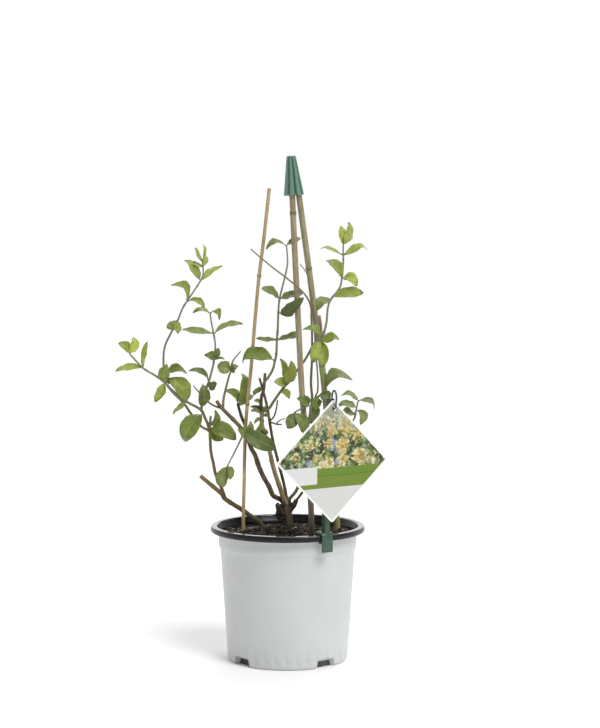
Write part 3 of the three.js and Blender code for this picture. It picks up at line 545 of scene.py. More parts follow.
# Bamboo canes: the radius, the joints' shares of the length, the skin, and the points from foot to top in mm.
canes = {
    "cane_front": {
        "radius": 3.3, "joints": (0.5, 0.93), "skin": "greyCane",
        "points": [
            (25.6, -44, 60), (25.3, -42, 133), (24.8, -39, 172), (18.7, -31, 253), (15.1, -27, 295),
            (12.5, -22.4, 346), (9.9, -17.4, 399), (7.2, -12.2, 452), (5.2, -8.6, 497), (3.4, -8.5, 512),
        ],
    },
    "cane_right": {
        "radius": 3.4, "joints": (0.33, 0.78), "skin": "oliveCane",
        "points": [
            (57, 30, 98), (54.7, 28, 134), (46.4, 21.5, 220), (38.2, 15, 304), (30.1, 9.5, 366),
            (25.8, 7, 398), (23.5, 5, 416), (12.4, -3.6, 497), (9.9, -4.2, 512),
        ],
    },
    "cane_left": {
        "radius": 2, "joints": (0.45, 0.78), "skin": "goldenCane",
        "points": [
            (-48, -10, 85), (-47.8, -6, 128.2), (-47.6, 0, 161.1), (-47, 6, 192.2), (-46.2, 13, 235.5),
            (-44.2, 15, 268.2), (-39.3, 13, 316.5), (-34.1, 7, 375.9), (-30.3, 2, 413.6), (-24.7, -5, 457),
            (-19.2, -12, 506),
        ],
    },
    "cane_short": {
        "radius": 1.75, "joints": (0.6,), "skin": "reddishCane",
        "points": [
            (55.5, 37.6, 112), (56, 37.6, 133), (49, 30.5, 205), (41.5, 22.5, 287), (36, 17, 355),
            (34, 15.5, 370),
        ],
    },
}
caneShape = {
    "steps": 420,
    "sides": 20,
    "ring": 0.5,  # how far a joint stands out, and how deep the groove above it is
    "groove": 0.3,
    "unevenness": 0.05,  # of the radius
}
caneSkins = {  # grooves, body and ridges, then the foot's colour and the heights in mm where it fades
    "greyCane": (("#6a5d46", "#97876a", "#b5a686"), "#474636", (140, 235)),
    "oliveCane": (("#676346", "#989070", "#b4ab88"), "#a69c4c", (128, 175)),
    "goldenCane": (("#8a7450", "#b99f72", "#d4bf95"), "#a68a58", (128, 200)),
    "reddishCane": (("#80644a", "#a98c6e", "#c4a888"), "#8a7446", (128, 190)),
}


# A heap of narrow bumps, one at each joint of a cane, for a share of its length.
def jointBumps(cane, share, shift, sharpness):
    return sum(math.exp(-(((share - at - shift) * sharpness) ** 2)) for at in cane["joints"])


# Split bamboo: glossy hard fibres run along it, and weather fills the grooves between them with grey.
def bambooCane(name, colours, foot, fade):
    material, tree, shader = newMaterial(name, IOR=1.5)
    along = addNode(tree, "UVMap", uv_map="UVMap")
    fibres = addNode(tree, "Mapping", {"Vector": along, "Scale": (0.5, 9, 1)})  # a fibre is 1.1 mm wide
    grain = addNode(tree, "TexNoise", {"Vector": fibres, "Scale": 1.0, "Detail": 5.0, "Roughness": 0.6})
    tint = addNode(tree, "ValToRGB", {"Fac": grain}, stops=list(zip((0.32, 0.52, 0.72), colours)))
    spot = addNode(tree, "TexCoord").outputs["Object"]
    blotch = addNode(tree, "TexNoise", {"Vector": spot, "Scale": 45.0, "Detail": 3.0})
    worn = addNode(tree, "MapRange", {"Value": blotch, "From Min": 0.45, "From Max": 0.75, "To Max": 0.45})
    aged = addNode(tree, "Mix", {0: worn, 6: tint, 7: toLinear("#7d7a6c")}, data_type="RGBA")
    height = addNode(tree, "SeparateXYZ", {0: spot})
    low = addNode(
        tree, "MapRange", {"Value": height.outputs["Z"], "From Min": fade[0] * mm, "From Max": fade[1] * mm,
                           "To Min": 0.85, "To Max": 0.0},
    )
    skin = addNode(tree, "Mix", {0: low, 6: aged, 7: toLinear(foot)}, data_type="RGBA")
    stain = addNode(tree, "Attribute", attribute_name="tone").outputs["Fac"]
    dark = addNode(tree, "MapRange", {"Value": stain, "To Max": 0.75})
    skin = addNode(tree, "Mix", {0: dark, 6: skin, 7: toLinear("#4b4236")}, data_type="RGBA")
    rough = addNode(tree, "MapRange", {"Value": grain, "To Min": 0.62, "To Max": 0.4})
    bump = addNode(tree, "Bump", {"Height": grain, "Strength": 0.5, "Distance": 0.35 * mm})
    feed(shader, {"Base Color": skin, "Roughness": rough, "Normal": bump})
    return material


def makeCanes():
    for name, cane in canes.items():
        colours, foot, fade = caneSkins[cane["skin"]]
        bm = bmesh.new()
        seed = cane["radius"] * 7

        def thick(share, angle):  # a ring stands out at each joint, with a groove above it
            ring, groove = jointBumps(cane, share, 0, 190), jointBumps(cane, share, 0.006, 420)
            uneven = noise.noise((share * 9 + seed, math.cos(angle) * 0.7, math.sin(angle) * 0.7))
            radius = cane["radius"] * (0.97 + caneShape["unevenness"] * uneven)
            return radius + caneShape["ring"] * ring - caneShape["groove"] * groove

        steps, sides = caneShape["steps"], caneShape["sides"]
        addRod(bm, cane["points"], thick, steps, sides, lambda share: jointBumps(cane, share, -0.002, 330))
        skin = bambooCane(cane["skin"], colours, foot, fade)
        place(finishMesh("cane" + name[5:].capitalize(), bm, [skin]), "bamboo", name)
    print("canes ready")


makeCanes()

# The cap on the canes' tops is a fluted plug of soft plastic.
cap = {
    "height": 42,
    "bottomRadius": 10.4,
    "topShare": 0.46,
    "lobes": 8,
    "lobeDepth": 0.1,
    "firstLobe": -101,  # degrees from +X
    "lean": -4.2,
    "foot": (6.9, -6, 498.6),
    "flare": (1.5, 5),  # how far the foot's rim rises in the flutes, and the height where that ends
    "steps": 40,
    "turns": 160,
}


# Soft PVC, moulded, faintly cloudy: painted shade darkens the flutes and a painted highlight makes the ridges
# pale and milky.
def softPvc():
    material, tree, shader = newMaterial("mouldedSoftPvc", IOR=1.53)
    spot = addNode(tree, "TexCoord").outputs["Object"]
    cloud = addNode(tree, "TexNoise", {"Vector": spot, "Scale": 130.0, "Detail": 4.0})
    # painted light: the ridge value lightens the ridges as highlight and darkens the flutes as shade
    rubbed = addNode(tree, "Attribute", attribute_name="ridge").outputs["Fac"]
    shade = addNode(tree, "Math", {0: cloud, 1: 0.3, 2: rubbed}, operation="MULTIPLY_ADD")
    stops = [(0.2, "#2f4e41"), (0.6, "#406253"), (1.0, "#648878")]
    tint = addNode(tree, "ValToRGB", {"Fac": shade}, stops=stops)
    grit = addNode(tree, "TexNoise", {"Vector": spot, "Scale": 900.0, "Detail": 3.0})
    bump = addNode(tree, "Bump", {"Height": grit, "Strength": 0.15, "Distance": 0.2 * mm})
    rough = addNode(tree, "MapRange", {"Value": cloud, "To Min": 0.25, "To Max": 0.4})
    feed(shader, {"Base Color": tint, "Roughness": rough, "Normal": bump})
    return material


def makeCap():
    height, radius = cap["height"], cap["bottomRadius"]
    topRadius = radius * cap["topShare"]
    flare, flareTop = cap["flare"]
    outline = [(0.001, 4), (radius - 2.2, 3.4), (radius - 1.3, 0.4), (radius - 0.6, 0), (radius, 0.5)]
    for i in range(1, cap["steps"]):
        rise = i / cap["steps"]
        outline.append((radius + (topRadius - radius) * rise, 0.5 + (height - 1.3) * rise))
    outline += [(topRadius - 0.1, height - 0.7), (topRadius - 0.5, height - 0.1), (topRadius - 1.1, height),
                (topRadius - 1.7, height - 0.6), (0.001, height - 0.7)]
    bm = spinOutline(outline, cap["turns"])
    paintedRidgeLight = bm.verts.layers.float.new("ridge")
    for vert in bm.verts:
        x, y, z = vert.co / mm
        reach = math.hypot(x, y)
        if reach < 0.5:
            continue
        angle = math.atan2(y, x) - math.radians(cap["firstLobe"])
        ridge = abs(math.cos(cap["lobes"] / 2 * angle)) ** 0.8
        # kept for the colour as painted highlight on the ridges and painted shade in the flutes; the flat top
        # gets a fixed value
        vert[paintedRidgeLight] = ridge if z < height - 1 else 0.7
        edge = min(1, reach / (radius * 0.5 * (1 - 0.54 * z / height)))
        share = 1 + cap["lobeDepth"] * (2.1 * ridge - 1.55) * edge
        lift = flare * (1 - ridge) * max(0, 1 - z / flareTop) if reach > radius * 0.7 else 0
        vert.co = Vector((x * share, y * share, z + lift)) * mm
    lean = Matrix.Rotation(math.radians(cap["lean"]), 4, "Y")
    bmesh.ops.transform(bm, matrix=Matrix.Translation(Vector(cap["foot"]) * mm) @ lean, verts=bm.verts)
    place(finishMesh("caneCap", bm, [softPvc()]), "cap_plastic", "cane_cap")
    print("cap ready")


makeCap()

# The plant tag is a printed sheet hung by one corner.
tag = {
    "side": 91,
    "thickness": 0.8,
    "corner": 2.2,  # radii of the four corners and of the sheet's edges
    "edge": 0.12,
    "yaw": 25.5,
    "lean": 0.6,
    "centre": (47, -75.3, 223.1),
    "hole": (1.2, 54.5),
    "holeRadius": 2.4,
    "mapUnit": 100,  # mm of the sheet to 1 on its map
    "border": 1.9,
    "printSlope": 0.04,  # how far the print rises to the right
    "pictureFoot": -6.6,  # heights in mm from the tag's middle
    "bandLine": -14.6,
    "lineWidth": 0.7,
    "bandFoot": -27.2,
    "box": (-17.7, -22.5, -4.4),  # the bare label's right edge, foot and top
    "softness": 0.15,  # mm of blur at the edges of the print
}


# Printed polypropylene sheet: inks under a clear satin coat. The map's unit is 100 mm, its middle at 0.5.
# The picture is of cream and yellow flower heads among leaves, with blue blooms behind.
def printedSheet():
    material, tree, shader = newMaterial(
        "printedPolypropylene", Roughness=0.4, Coat_Weight=0.05, Coat_Roughness=0.2,
    )
    unit, soft = tag["mapUnit"], tag["softness"]
    uv = addNode(tree, "UVMap", uv_map="UVMap")
    middle = (-unit / 2, -unit / 2, 0)
    onSheet = addNode(tree, "Mapping", {"Vector": uv, "Location": middle, "Scale": (unit, unit, 1)})
    axes = addNode(tree, "SeparateXYZ", {0: onSheet})
    x = axes.outputs["X"]
    y = addNode(tree, "Math", {0: x, 1: -tag["printSlope"], 2: axes.outputs["Y"]}, operation="MULTIPLY_ADD")

    # everything painted is bent a little, so no edge is a clean circle
    shiver = addNode(tree, "TexNoise", {"Vector": uv, "Scale": 34.0, "Detail": 3.0})
    push = addNode(tree, "VectorMath", {0: shiver.outputs["Color"], 1: (0.5, 0.5, 0.5)}, operation="SUBTRACT")
    bend = addNode(tree, "VectorMath", {0: push, "Scale": 0.05}, operation="SCALE")
    bent = addNode(tree, "VectorMath", {0: uv, 1: bend}, operation="ADD")

    leafCells = addNode(tree, "TexVoronoi", {"Vector": bent, "Scale": 24.0})  # leaves of 4 mm
    leafKind = addNode(tree, "SeparateColor", {0: leafCells.outputs["Color"]})
    greens = [(0.08, "#26351b"), (0.3, "#4c632a"), (0.5, "#6f8c3c"), (0.72, "#8fa467"), (0.92, "#bcc69b")]
    leaves = addNode(tree, "ValToRGB", {"Fac": leafKind}, stops=greens)
    depth = addNode(tree, "ValToRGB", {"Fac": leafCells}, stops=[(0.15, "#ffffff"), (0.75, "#565e4c")])
    picture = addNode(tree, "Mix", {0: 0.8, 6: leaves, 7: depth}, data_type="RGBA", blend_type="MULTIPLY")
    far = addNode(tree, "TexNoise", {"Vector": bent, "Scale": 6.5, "Detail": 2.0})
    blue = addNode(tree, "MapRange", {"Value": far, "From Min": 0.6, "From Max": 0.67, "To Max": 0.75})
    picture = addNode(tree, "Mix", {0: blue, 6: picture, 7: toLinear("#8f9dc0")}, data_type="RGBA")

    # flower heads: clusters of narrow florets, each cluster turned its own way
    creams = [(0.15, "#a8822e"), (0.35, "#cbab4c"), (0.6, "#dccb84"), (0.8, "#e8e3c0"), (1.0, "#cfd3a8")]
    ragged = 0.04  # how soft a head's outline is
    for scale, shift, reach, share in ((7.0, 1.3, 0.6, 0.25), (5.8, 4.1, 0.64, 0.3)):
        moved = addNode(tree, "Mapping", {"Vector": bent, "Location": (shift, 0.6 * shift, 0)})
        heads = addNode(tree, "TexVoronoi", {"Vector": moved, "Scale": scale, "Randomness": 0.75})
        headKind = addNode(tree, "SeparateColor", {0: heads.outputs["Color"]})
        heading = addNode(tree, "Math", {0: headKind.outputs[1], 1: 6.28}, operation="MULTIPLY")
        turned = addNode(tree, "VectorRotate", {"Vector": moved, "Angle": heading}, rotation_type="Z_AXIS")
        narrow = addNode(tree, "Mapping", {"Vector": turned, "Scale": (1, 2.4, 1)})
        florets = addNode(tree, "TexVoronoi", {"Vector": narrow, "Scale": scale * 3.6, "Randomness": 1.0})
        floretKind = addNode(tree, "SeparateColor", {0: florets.outputs["Color"]})
        margin = addNode(tree, "Math", {0: floretKind.outputs[1], 1: 0.3, 2: heads}, operation="MULTIPLY_ADD")
        warmth = addNode(tree, "Math", {0: floretKind, 1: 0.45, 2: heads}, operation="MULTIPLY_ADD")
        petals = addNode(tree, "ValToRGB", {"Fac": warmth}, stops=creams)
        shade = addNode(tree, "ValToRGB", {"Fac": florets}, stops=[(0.25, "#ffffff"), (0.75, "#6d6b3c")])
        lit = addNode(tree, "Mix", {0: 0.75, 6: petals, 7: shade}, data_type="RGBA", blend_type="MULTIPLY")
        inside = addNode(
            tree, "MapRange", {"Value": margin, "From Min": reach + ragged, "From Max": reach - ragged},
        )
        picked = addNode(tree, "Math", {0: headKind, 1: share}, operation="GREATER_THAN")
        cover = addNode(tree, "Math", {0: inside, 1: picked}, operation="MULTIPLY")
        picture = addNode(tree, "Mix", {0: cover, 6: picture, 7: lit}, data_type="RGBA")
    pale = addNode(tree, "MapRange", {"Value": y, "From Min": 28.0, "From Max": 62.0, "To Max": 0.65})
    picture = addNode(tree, "Mix", {0: pale, 6: picture, 7: toLinear("#c9c9b6")}, data_type="RGBA")

    # plain bands below the picture, each over the one before, then the picture itself and the label
    ink = toLinear("#cbccc9")
    line, half = tag["bandLine"], tag["lineWidth"] / 2
    for height, colour in (
        (tag["bandFoot"], toLinear("#687f20")), (line - half, toLinear("#47641c")),
        (line + half, toLinear("#627f1e")), (tag["pictureFoot"], picture),
    ):
        past = addNode(tree, "MapRange", {"Value": y, "From Min": height - soft, "From Max": height + soft})
        ink = addNode(tree, "Mix", {0: past, 6: ink, 7: colour}, data_type="RGBA")
    right, foot, top = tag["box"]
    inBox = 1.0
    for value, limit, blur in ((x, right, -soft), (y, foot, soft), (y, top, -soft)):
        past = addNode(tree, "MapRange", {"Value": value, "From Min": limit - blur, "From Max": limit + blur})
        inBox = addNode(tree, "Math", {0: past, 1: inBox}, operation="MULTIPLY")
    ink = addNode(tree, "Mix", {0: inBox, 6: ink, 7: toLinear("#d2d3d1")}, data_type="RGBA")

    # the white border: on a sheet that hangs by a corner its distance is the sum of the two sides'
    sides = [addNode(tree, "Math", {0: axes.outputs[name]}, operation="ABSOLUTE") for name in ("X", "Y")]
    reach = addNode(tree, "Math", {0: sides[0], 1: sides[1]}, operation="ADD")
    edge = (tag["side"] / 2 - tag["border"]) * math.sqrt(2)
    rim = addNode(tree, "MapRange", {"Value": reach, "From Min": edge - soft, "From Max": edge + soft})
    ink = addNode(tree, "Mix", {0: rim, 6: ink, 7: toLinear("#ececea")}, data_type="RGBA")
    feed(shader, {"Base Color": ink})
    return material


# The bare back and edges of the same sheet.
def plainSheet():
    material, tree, shader = newMaterial("whitePolypropylene", Roughness=0.4)
    spot = addNode(tree, "TexCoord").outputs["Object"]
    cloud = addNode(tree, "TexNoise", {"Vector": spot, "Scale": 40.0, "Detail": 2.0})
    tint = addNode(tree, "ValToRGB", {"Fac": cloud}, stops=[(0.3, "#e8e9e6"), (0.7, "#f0f1ee")])
    feed(shader, {"Base Color": tint})
    return material


# Rounds edges of a mesh off.
def roundEdges(bm, edges, radius, segments=2, **settings):
    bmesh.ops.bevel(
        bm, geom=edges, offset=radius, offset_type="OFFSET", segments=segments, profile=0.5, affect="EDGES",
        material=-1, **settings,
    )


def makeTag():
    bm = bmesh.new()
    uvs = bm.loops.layers.uv.new("UVMap")
    bmesh.ops.create_cube(bm, size=1)
    bmesh.ops.scale(bm, verts=bm.verts, vec=(tag["side"], tag["thickness"], tag["side"]))
    corners = [edge for edge in bm.edges if abs(edge.verts[0].co.y - edge.verts[1].co.y) > 0.1]
    roundEdges(bm, corners, tag["corner"], 5)
    eighth, quarter = math.radians(45), math.radians(90)
    bmesh.ops.rotate(bm, verts=bm.verts, cent=(0, 0, 0), matrix=Matrix.Rotation(eighth, 3, "Y"))
    roundEdges(bm, [edge for edge in bm.edges if edge.calc_face_angle(0) > 1.2], tag["edge"])
    for face in bm.faces:
        face.material_index = 0 if face.normal.y < -0.9 else 1
        for loop in face.loops:
            loop[uvs].uv = (loop.vert.co.x / tag["mapUnit"] + 0.5, loop.vert.co.z / tag["mapUnit"] + 0.5)
    bmesh.ops.scale(bm, verts=bm.verts, vec=(mm, mm, mm))
    piece = finishMesh("plantTag", bm, [printedSheet(), plainSheet()], smooth=False)

    punch = bmesh.new()
    radius, (holeX, holeZ) = tag["holeRadius"] * mm, tag["hole"]
    bmesh.ops.create_cone(punch, cap_ends=True, segments=40, radius1=radius, radius2=radius, depth=0.01)
    bmesh.ops.rotate(punch, verts=punch.verts, cent=(0, 0, 0), matrix=Matrix.Rotation(quarter, 3, "X"))
    bmesh.ops.translate(punch, verts=punch.verts, vec=(holeX * mm, 0, holeZ * mm))
    cutAway(piece, finishMesh("tagPunch", punch, [], smooth=False))
    yaw = Matrix.Rotation(math.radians(tag["yaw"]), 4, "Z")
    lean = Matrix.Rotation(math.radians(tag["lean"]), 4, "Y")
    piece.data.transform(Matrix.Translation(Vector(tag["centre"]) * mm) @ (yaw @ lean))
    place(piece, "tag_plastic", "tag")
    print("tag ready")


makeTag()

# The tag holder is a clip on the rim, a post and a wire-like hook, moulded in one.
holder = {
    "azimuth": 29.5,
    "clipWidth": 12.5,
    "clipRound": 0.35,
    "strap": 2.1,
    "space": {"rim": 0.5, "top": 0.4, "wall": 0.9},  # clearances round the lip
    "underLip": 7.1,  # below the pot's top
    "jawFoot": (6.5, 1.7),  # how far the jaw's foot reaches under the lip, and its thickness
    "jawBottom": 127.5,
    "legBottom": 136,
    "postWidth": 6,
    "postFlange": 7,
    "postThickness": 1.6,
    "postRound": 0.3,
    "postFoot": 146,
    "postTop": 288,
    "postFront": 84.5,
    "postLean": (0.031, -0.016),
    "wireRadius": 0.95,
    "wire": [
        (4.8, -85.6, 283), (4.8, -85.9, 290), (5.2, -87.2, 295.4), (6, -89.6, 296.2), (6.7, -91.3, 292),
        (6.5, -91.7, 285), (6, -91.2, 279.8), (5.7, -89.6, 277.6), (5.7, -86.6, 277.2),
    ],
}


# Polypropylene, moulded: dark green with a satin skin and faint flow marks.
def mouldedGreen():
    material, tree, shader = newMaterial("mouldedPolypropylene", IOR=1.49)
    spot = addNode(tree, "TexCoord").outputs["Object"]
    flow = addNode(tree, "TexNoise", {"Vector": spot, "Scale": 60.0, "Detail": 4.0})
    stops = [(0.3, "#2a4233"), (0.55, "#345040"), (0.8, "#42604b")]
    tint = addNode(tree, "ValToRGB", {"Fac": flow}, stops=stops)
    grit = addNode(tree, "TexNoise", {"Vector": spot, "Scale": 1600.0, "Detail": 2.0})
    bump = addNode(tree, "Bump", {"Height": grit, "Strength": 0.2, "Distance": 0.1 * mm})
    rough = addNode(tree, "MapRange", {"Value": flow, "To Min": 0.28, "To Max": 0.45})
    feed(shader, {"Base Color": tint, "Roughness": rough, "Normal": bump})
    return material


# Adds a closed bar: an outline given as points, pushed along a direction, with rounded edges.
def addBar(bm, outline, push, radius):
    verts = [bm.verts.new(point) for point in outline]
    face = bm.faces.new(verts)
    made = bmesh.ops.extrude_face_region(bm, geom=[face])["geom"]
    moved = [item for item in made if isinstance(item, bmesh.types.BMVert)]
    bmesh.ops.translate(bm, verts=moved, vec=push)
    inBar = set(verts + moved)
    edges = [edge for edge in bm.edges if edge.verts[0] in inBar]
    bmesh.ops.recalc_face_normals(bm, faces=[f for f in bm.faces if f.verts[0] in inBar])
    roundEdges(bm, edges, radius, clamp_overlap=True)


def makeHolder():
    strap, width = holder["strap"], holder["clipWidth"]
    jawBottom, legBottom = holder["jawBottom"], holder["legBottom"]
    footReach, footThickness = holder["jawFoot"]
    lip = pot["rim"] + holder["space"]["rim"]
    inside = pot["collar"] - pot["wall"] - holder["space"]["wall"]
    over = pot["height"] + holder["space"]["top"]
    under = pot["height"] - holder["underLip"]
    bm = bmesh.new()
    clip = [  # radius and height, round the section
        (lip + strap, jawBottom), (lip + strap, over), (lip + 1, over + strap),
        (inside - 1, over + strap + 1), (inside - strap, over), (inside - strap, legBottom),
        (inside, legBottom), (inside, over), (lip, over), (lip, under), (lip - footReach, under),
        (lip - footReach, under - footThickness), (lip, under - footThickness), (lip, jawBottom),
    ]
    addBar(bm, [(-width / 2, -r, z) for r, z in clip], (width, 0, 0), holder["clipRound"])

    half, skin = holder["postWidth"] / 2, holder["postThickness"]
    front, back = -holder["postFront"], holder["postFlange"] - holder["postFront"]
    angle = [
        (-half, front), (half, front), (half, front + skin), (skin - half, front + skin), (skin - half, back),
        (-half, back),
    ]
    tall = holder["postTop"] - holder["postFoot"]
    leanX, leanY = holder["postLean"]
    post = [(x, y, holder["postFoot"]) for x, y in angle]
    addBar(bm, post, (leanX * tall, leanY * tall, tall), holder["postRound"])
    bmesh.ops.scale(bm, verts=bm.verts, vec=(mm, mm, mm))
    addRod(bm, holder["wire"], lambda share, angle: holder["wireRadius"] * (1 - 0.25 * share ** 6), 60, 16)
    turn = Matrix.Rotation(math.radians(holder["azimuth"]), 3, "Z")
    bmesh.ops.rotate(bm, verts=bm.verts, cent=(0, 0, 0), matrix=turn)
    piece = finishMesh("tagHolder", bm, [mouldedGreen()])
    piece.data.set_sharp_from_angle(angle=math.radians(40))
    place(piece, "holder_plastic", "tag_holder")
    print("holder ready")


makeHolder()

# Old wood. Each branch: its tone from dead and black (0) to young and golden (1), the radii at its root and
# its end, and its points from root to end in mm.
crownBranches = {
    "trunk": {
        "tone": 0.42, "radii": (5.7, 4.5),
        "points": [(1, 24, 92), (0.8, 22.5, 133), (0.3, 22, 145), (-0.5, 21.5, 158), (-0.8, 21, 171)],
    },
    "leftKnob": {
        "tone": 0.28, "radii": (4, 2.6),
        "points": [(-1, 21.5, 152), (-7, 19, 156), (-11.5, 17.5, 164)],
    },
    "rightStub": {
        "tone": 0.25, "radii": (3.4, 2.3),
        "points": [(1, 21, 157), (6, 19, 163), (9.5, 18, 169)],
    },
    "leftBranch": {
        "tone": 0.42, "radii": (2.8, 1.9),
        "points": [
            (-1, 21, 166), (-8.4, 19.5, 170), (-15.9, 18, 174), (-20.3, 16, 184), (-25.8, 14, 194),
            (-30.9, 11, 206), (-35.3, 9, 219.5), (-39.6, 7.5, 227.5), (-47.5, 5, 246), (-70.5, 2, 271),
            (-76.4, 1, 279),
        ],
    },
    "middleBranch": {
        "tone": 0.75, "radii": (2.7, 2),
        "points": [
            (-1.5, 19, 165), (-5.1, 16, 173), (-9.4, 14, 186), (-13.1, 12, 197), (-16.9, 10, 211),
            (-19, 8, 221), (-23.3, 7, 238), (-25.5, 6, 246), (-28, 5, 256), (-27.6, 5, 268),
        ],
    },
    "budStub": {
        "tone": 0.3, "radii": (1.6, 0.7),
        "points": [(-24.5, 6, 243), (-29, 5, 246), (-33.3, 4, 249)],
    },
    "deadStick": {
        "tone": 0.4, "radii": (1.8, 1.3),
        "points": [
            (0.5, 25, 162), (-5.2, 24, 190), (-8.4, 21, 203), (-15, 17, 229), (-19.2, 13, 253),
            (-22.3, 11, 272.5), (-27.3, 9, 292.5), (-30.4, 8, 303),
        ],
    },
    "darkStub": {
        "tone": 0.05, "radii": (2, 1.5),
        "points": [
            (-39.8, 7.8, 227), (-40.5, 13, 233), (-42, 18.5, 241), (-46, 21, 250), (-50.2, 22, 260),
            (-54.3, 22, 274),
        ],
    },
    "cutTwig": {
        "tone": 0.32, "radii": (1.9, 1.5),
        "points": [
            (-27.8, 5, 264), (-28.6, 4, 275), (-28, 3, 284), (-26.1, 0, 290), (-25, -1, 299),
            (-24.2, -2, 309),
        ],
    },
    "crossTwig": {
        "tone": 0.35, "radii": (0.9, 0.7),
        "points": [(-19.3, 12.6, 255), (-15.2, 8, 254.2), (-11.3, 6, 253.2), (-6.3, 5, 253)],
    },
    "forkTwig": {
        "tone": 0.35, "radii": (0.7, 0.5),
        "points": [(-12.1, 6.5, 253.3), (-10.4, 4, 256), (-7.4, 0, 258.6), (-2.6, -4, 260.4)],
    },
    "leanTwig": {
        "tone": 0.35, "radii": (0.9, 0.7),
        "points": [(-19.5, 12.6, 255.5), (-14.7, 9, 261.7), (-12.3, 8, 269.3), (-10.9, 7, 279.1)],
    },
    "endTwig": {
        "tone": 0.5, "radii": (1.2, 0.6),
        "points": [
            (-70.5, 2, 271), (-75.8, 1.6, 272.4), (-81.2, 1, 275), (-86.6, 0, 279), (-92, -1, 285),
            (-97.3, -2, 291), (-101, -3, 296),
        ],
    },
}
lyingBranch = {
    "tones": (0.2, 0.85),
    "radii": (2.9, 2.3),
    "points": [
        (-22, 57, 112), (-29.8, 55.5, 136), (-41.9, 54, 146.5), (-51.8, 53, 154), (-69.2, 48, 166),
        (-74, 45, 173), (-95.4, 35, 193),
    ],
}
barkFinish = {
    "ridge": 0.144,  # of the radius, how far the strips of bark stand out
    "knotSpacing": 27,  # mm between the old leaf joints
    "knotLength": 2.2,
    "knotRise": 0.16,
    "step": 0.9,  # mm along a branch
    "burrs": 26,
    "burrSize": (1.2, 2.6),
    "knob": (-5.5, 19.5, 158),  # where burrs and old buds sit, and how far round it in each direction
    "knobSpans": ((-6, 5.5), (-4, 4), (-9, 10)),
    "fork": (0, 17.5),  # right of forkStart they sit on the front of the fork
    "forkSpans": ((-5, 5), (-1, 1)),
    "forkStart": -3,
    "crownBark": ("#231d16", "#463a2b", "#75664a", "#998963", "#b9a878"),  # from dead wood to young
    "lyingBark": ("#37331f", "#59543a", "#756a4a", "#8a6f4c", "#a58560"),
}


# Old honeysuckle bark: papery grey strips that flake off brown wood. The tone picks dead or living bark.
def flakingBark(name, colours):
    material, tree, shader = newMaterial(name, Roughness=0.8)
    along = addNode(tree, "UVMap", uv_map="UVMap")
    strips = addNode(tree, "Mapping", {"Vector": along, "Scale": (0.8, 6.5, 1)})  # strips 1.5 mm wide
    bark = addNode(
        tree, "TexNoise", {"Vector": strips, "Scale": 1.0, "Detail": 7.0, "Roughness": 0.65,
                           "Distortion": 0.4},
    )
    tone = addNode(tree, "Attribute", attribute_name="tone").outputs["Fac"]
    spread = addNode(
        tree, "MapRange", {"Value": bark, "From Min": 0.3, "From Max": 0.7, "To Min": -0.3, "To Max": 0.3},
    )
    shade = addNode(tree, "Math", {0: tone, 1: spread}, operation="ADD")
    tint = addNode(tree, "ValToRGB", {"Fac": shade}, stops=list(zip((0.05, 0.3, 0.55, 0.8, 1.0), colours)))
    spot = addNode(tree, "TexCoord").outputs["Object"]
    lichen = addNode(tree, "TexNoise", {"Vector": spot, "Scale": 70.0, "Detail": 4.0})
    veil = addNode(tree, "MapRange", {"Value": lichen, "From Min": 0.5, "From Max": 0.72, "To Max": 0.35})
    skin = addNode(tree, "Mix", {0: veil, 6: tint, 7: toLinear("#77795c")}, data_type="RGBA")
    bump = addNode(tree, "Bump", {"Height": bark, "Strength": 0.9, "Distance": 0.9 * mm})
    feed(shader, {"Base Color": skin, "Normal": bump})
    return material


def lineLength(points):
    return sum((Vector(b) - Vector(a)).length for a, b in zip(points, points[1:]))


# Adds an old branch: strips of bark, and knots where leaves once stood.
def addBranch(bm, branch, seed, sides, tone):
    start, end = branch["radii"]
    length = lineLength(branch["points"])
    knots = max(2, round(length / barkFinish["knotSpacing"]))

    def thick(share, angle):
        spot = (share * length / 22 + seed, math.cos(angle) * 1.9, math.sin(angle) * 1.9)
        strips = barkFinish["ridge"] * noise.fractal(spot, 0.9, 2.0, 4)
        fromKnot = abs((share * knots + 0.37 * seed) % 1 - 0.5) * length / knots
        knot = math.exp(-((fromKnot / barkFinish["knotLength"]) ** 2)) * barkFinish["knotRise"]
        knot *= 0.6 + 0.4 * math.cos(angle * 2 + seed)
        return (start + (end - start) * share) * (1 + strips + knot)

    addRod(bm, branch["points"], thick, max(12, round(length / barkFinish["step"])), sides, tone)


def makeOldWood():
    bm = bmesh.new()
    for number, branch in enumerate(crownBranches.values()):
        addBranch(bm, branch, number * 3.1, 28 if branch["radii"][0] > 3.5 else 18, branch["tone"])
    draw = random.Random(7)
    tones = bm.verts.layers.float["tone"]
    for _ in range(barkFinish["burrs"]):
        x, y, z = (at + draw.uniform(*span) for at, span in zip(barkFinish["knob"], barkFinish["knobSpans"]))
        burr = draw.uniform(*barkFinish["burrSize"])
        if x > barkFinish["forkStart"]:
            x, y = (at + draw.uniform(*span) for at, span in zip(barkFinish["fork"], barkFinish["forkSpans"]))
        tone = draw.uniform(0.1, 0.4)
        for vert in addLump(bm, (x, y, z), (burr, burr, burr * 1.2), draw, 2, 0.9):
            vert[tones] = tone
    bark = flakingBark("honeysuckleBark", barkFinish["crownBark"])
    place(finishMesh("oldCrown", bm, [bark]), "old_wood", "crown")

    bm = bmesh.new()
    root, end = lyingBranch["tones"]
    addBranch(bm, lyingBranch, 5.7, 20, lambda share: root + (end - root) * share)
    bark = flakingBark("mossyBark", barkFinish["lyingBark"])
    place(finishMesh("lyingBranch", bm, [bark]), "old_wood", "lying_branch")
    print("old wood ready")


makeOldWood()

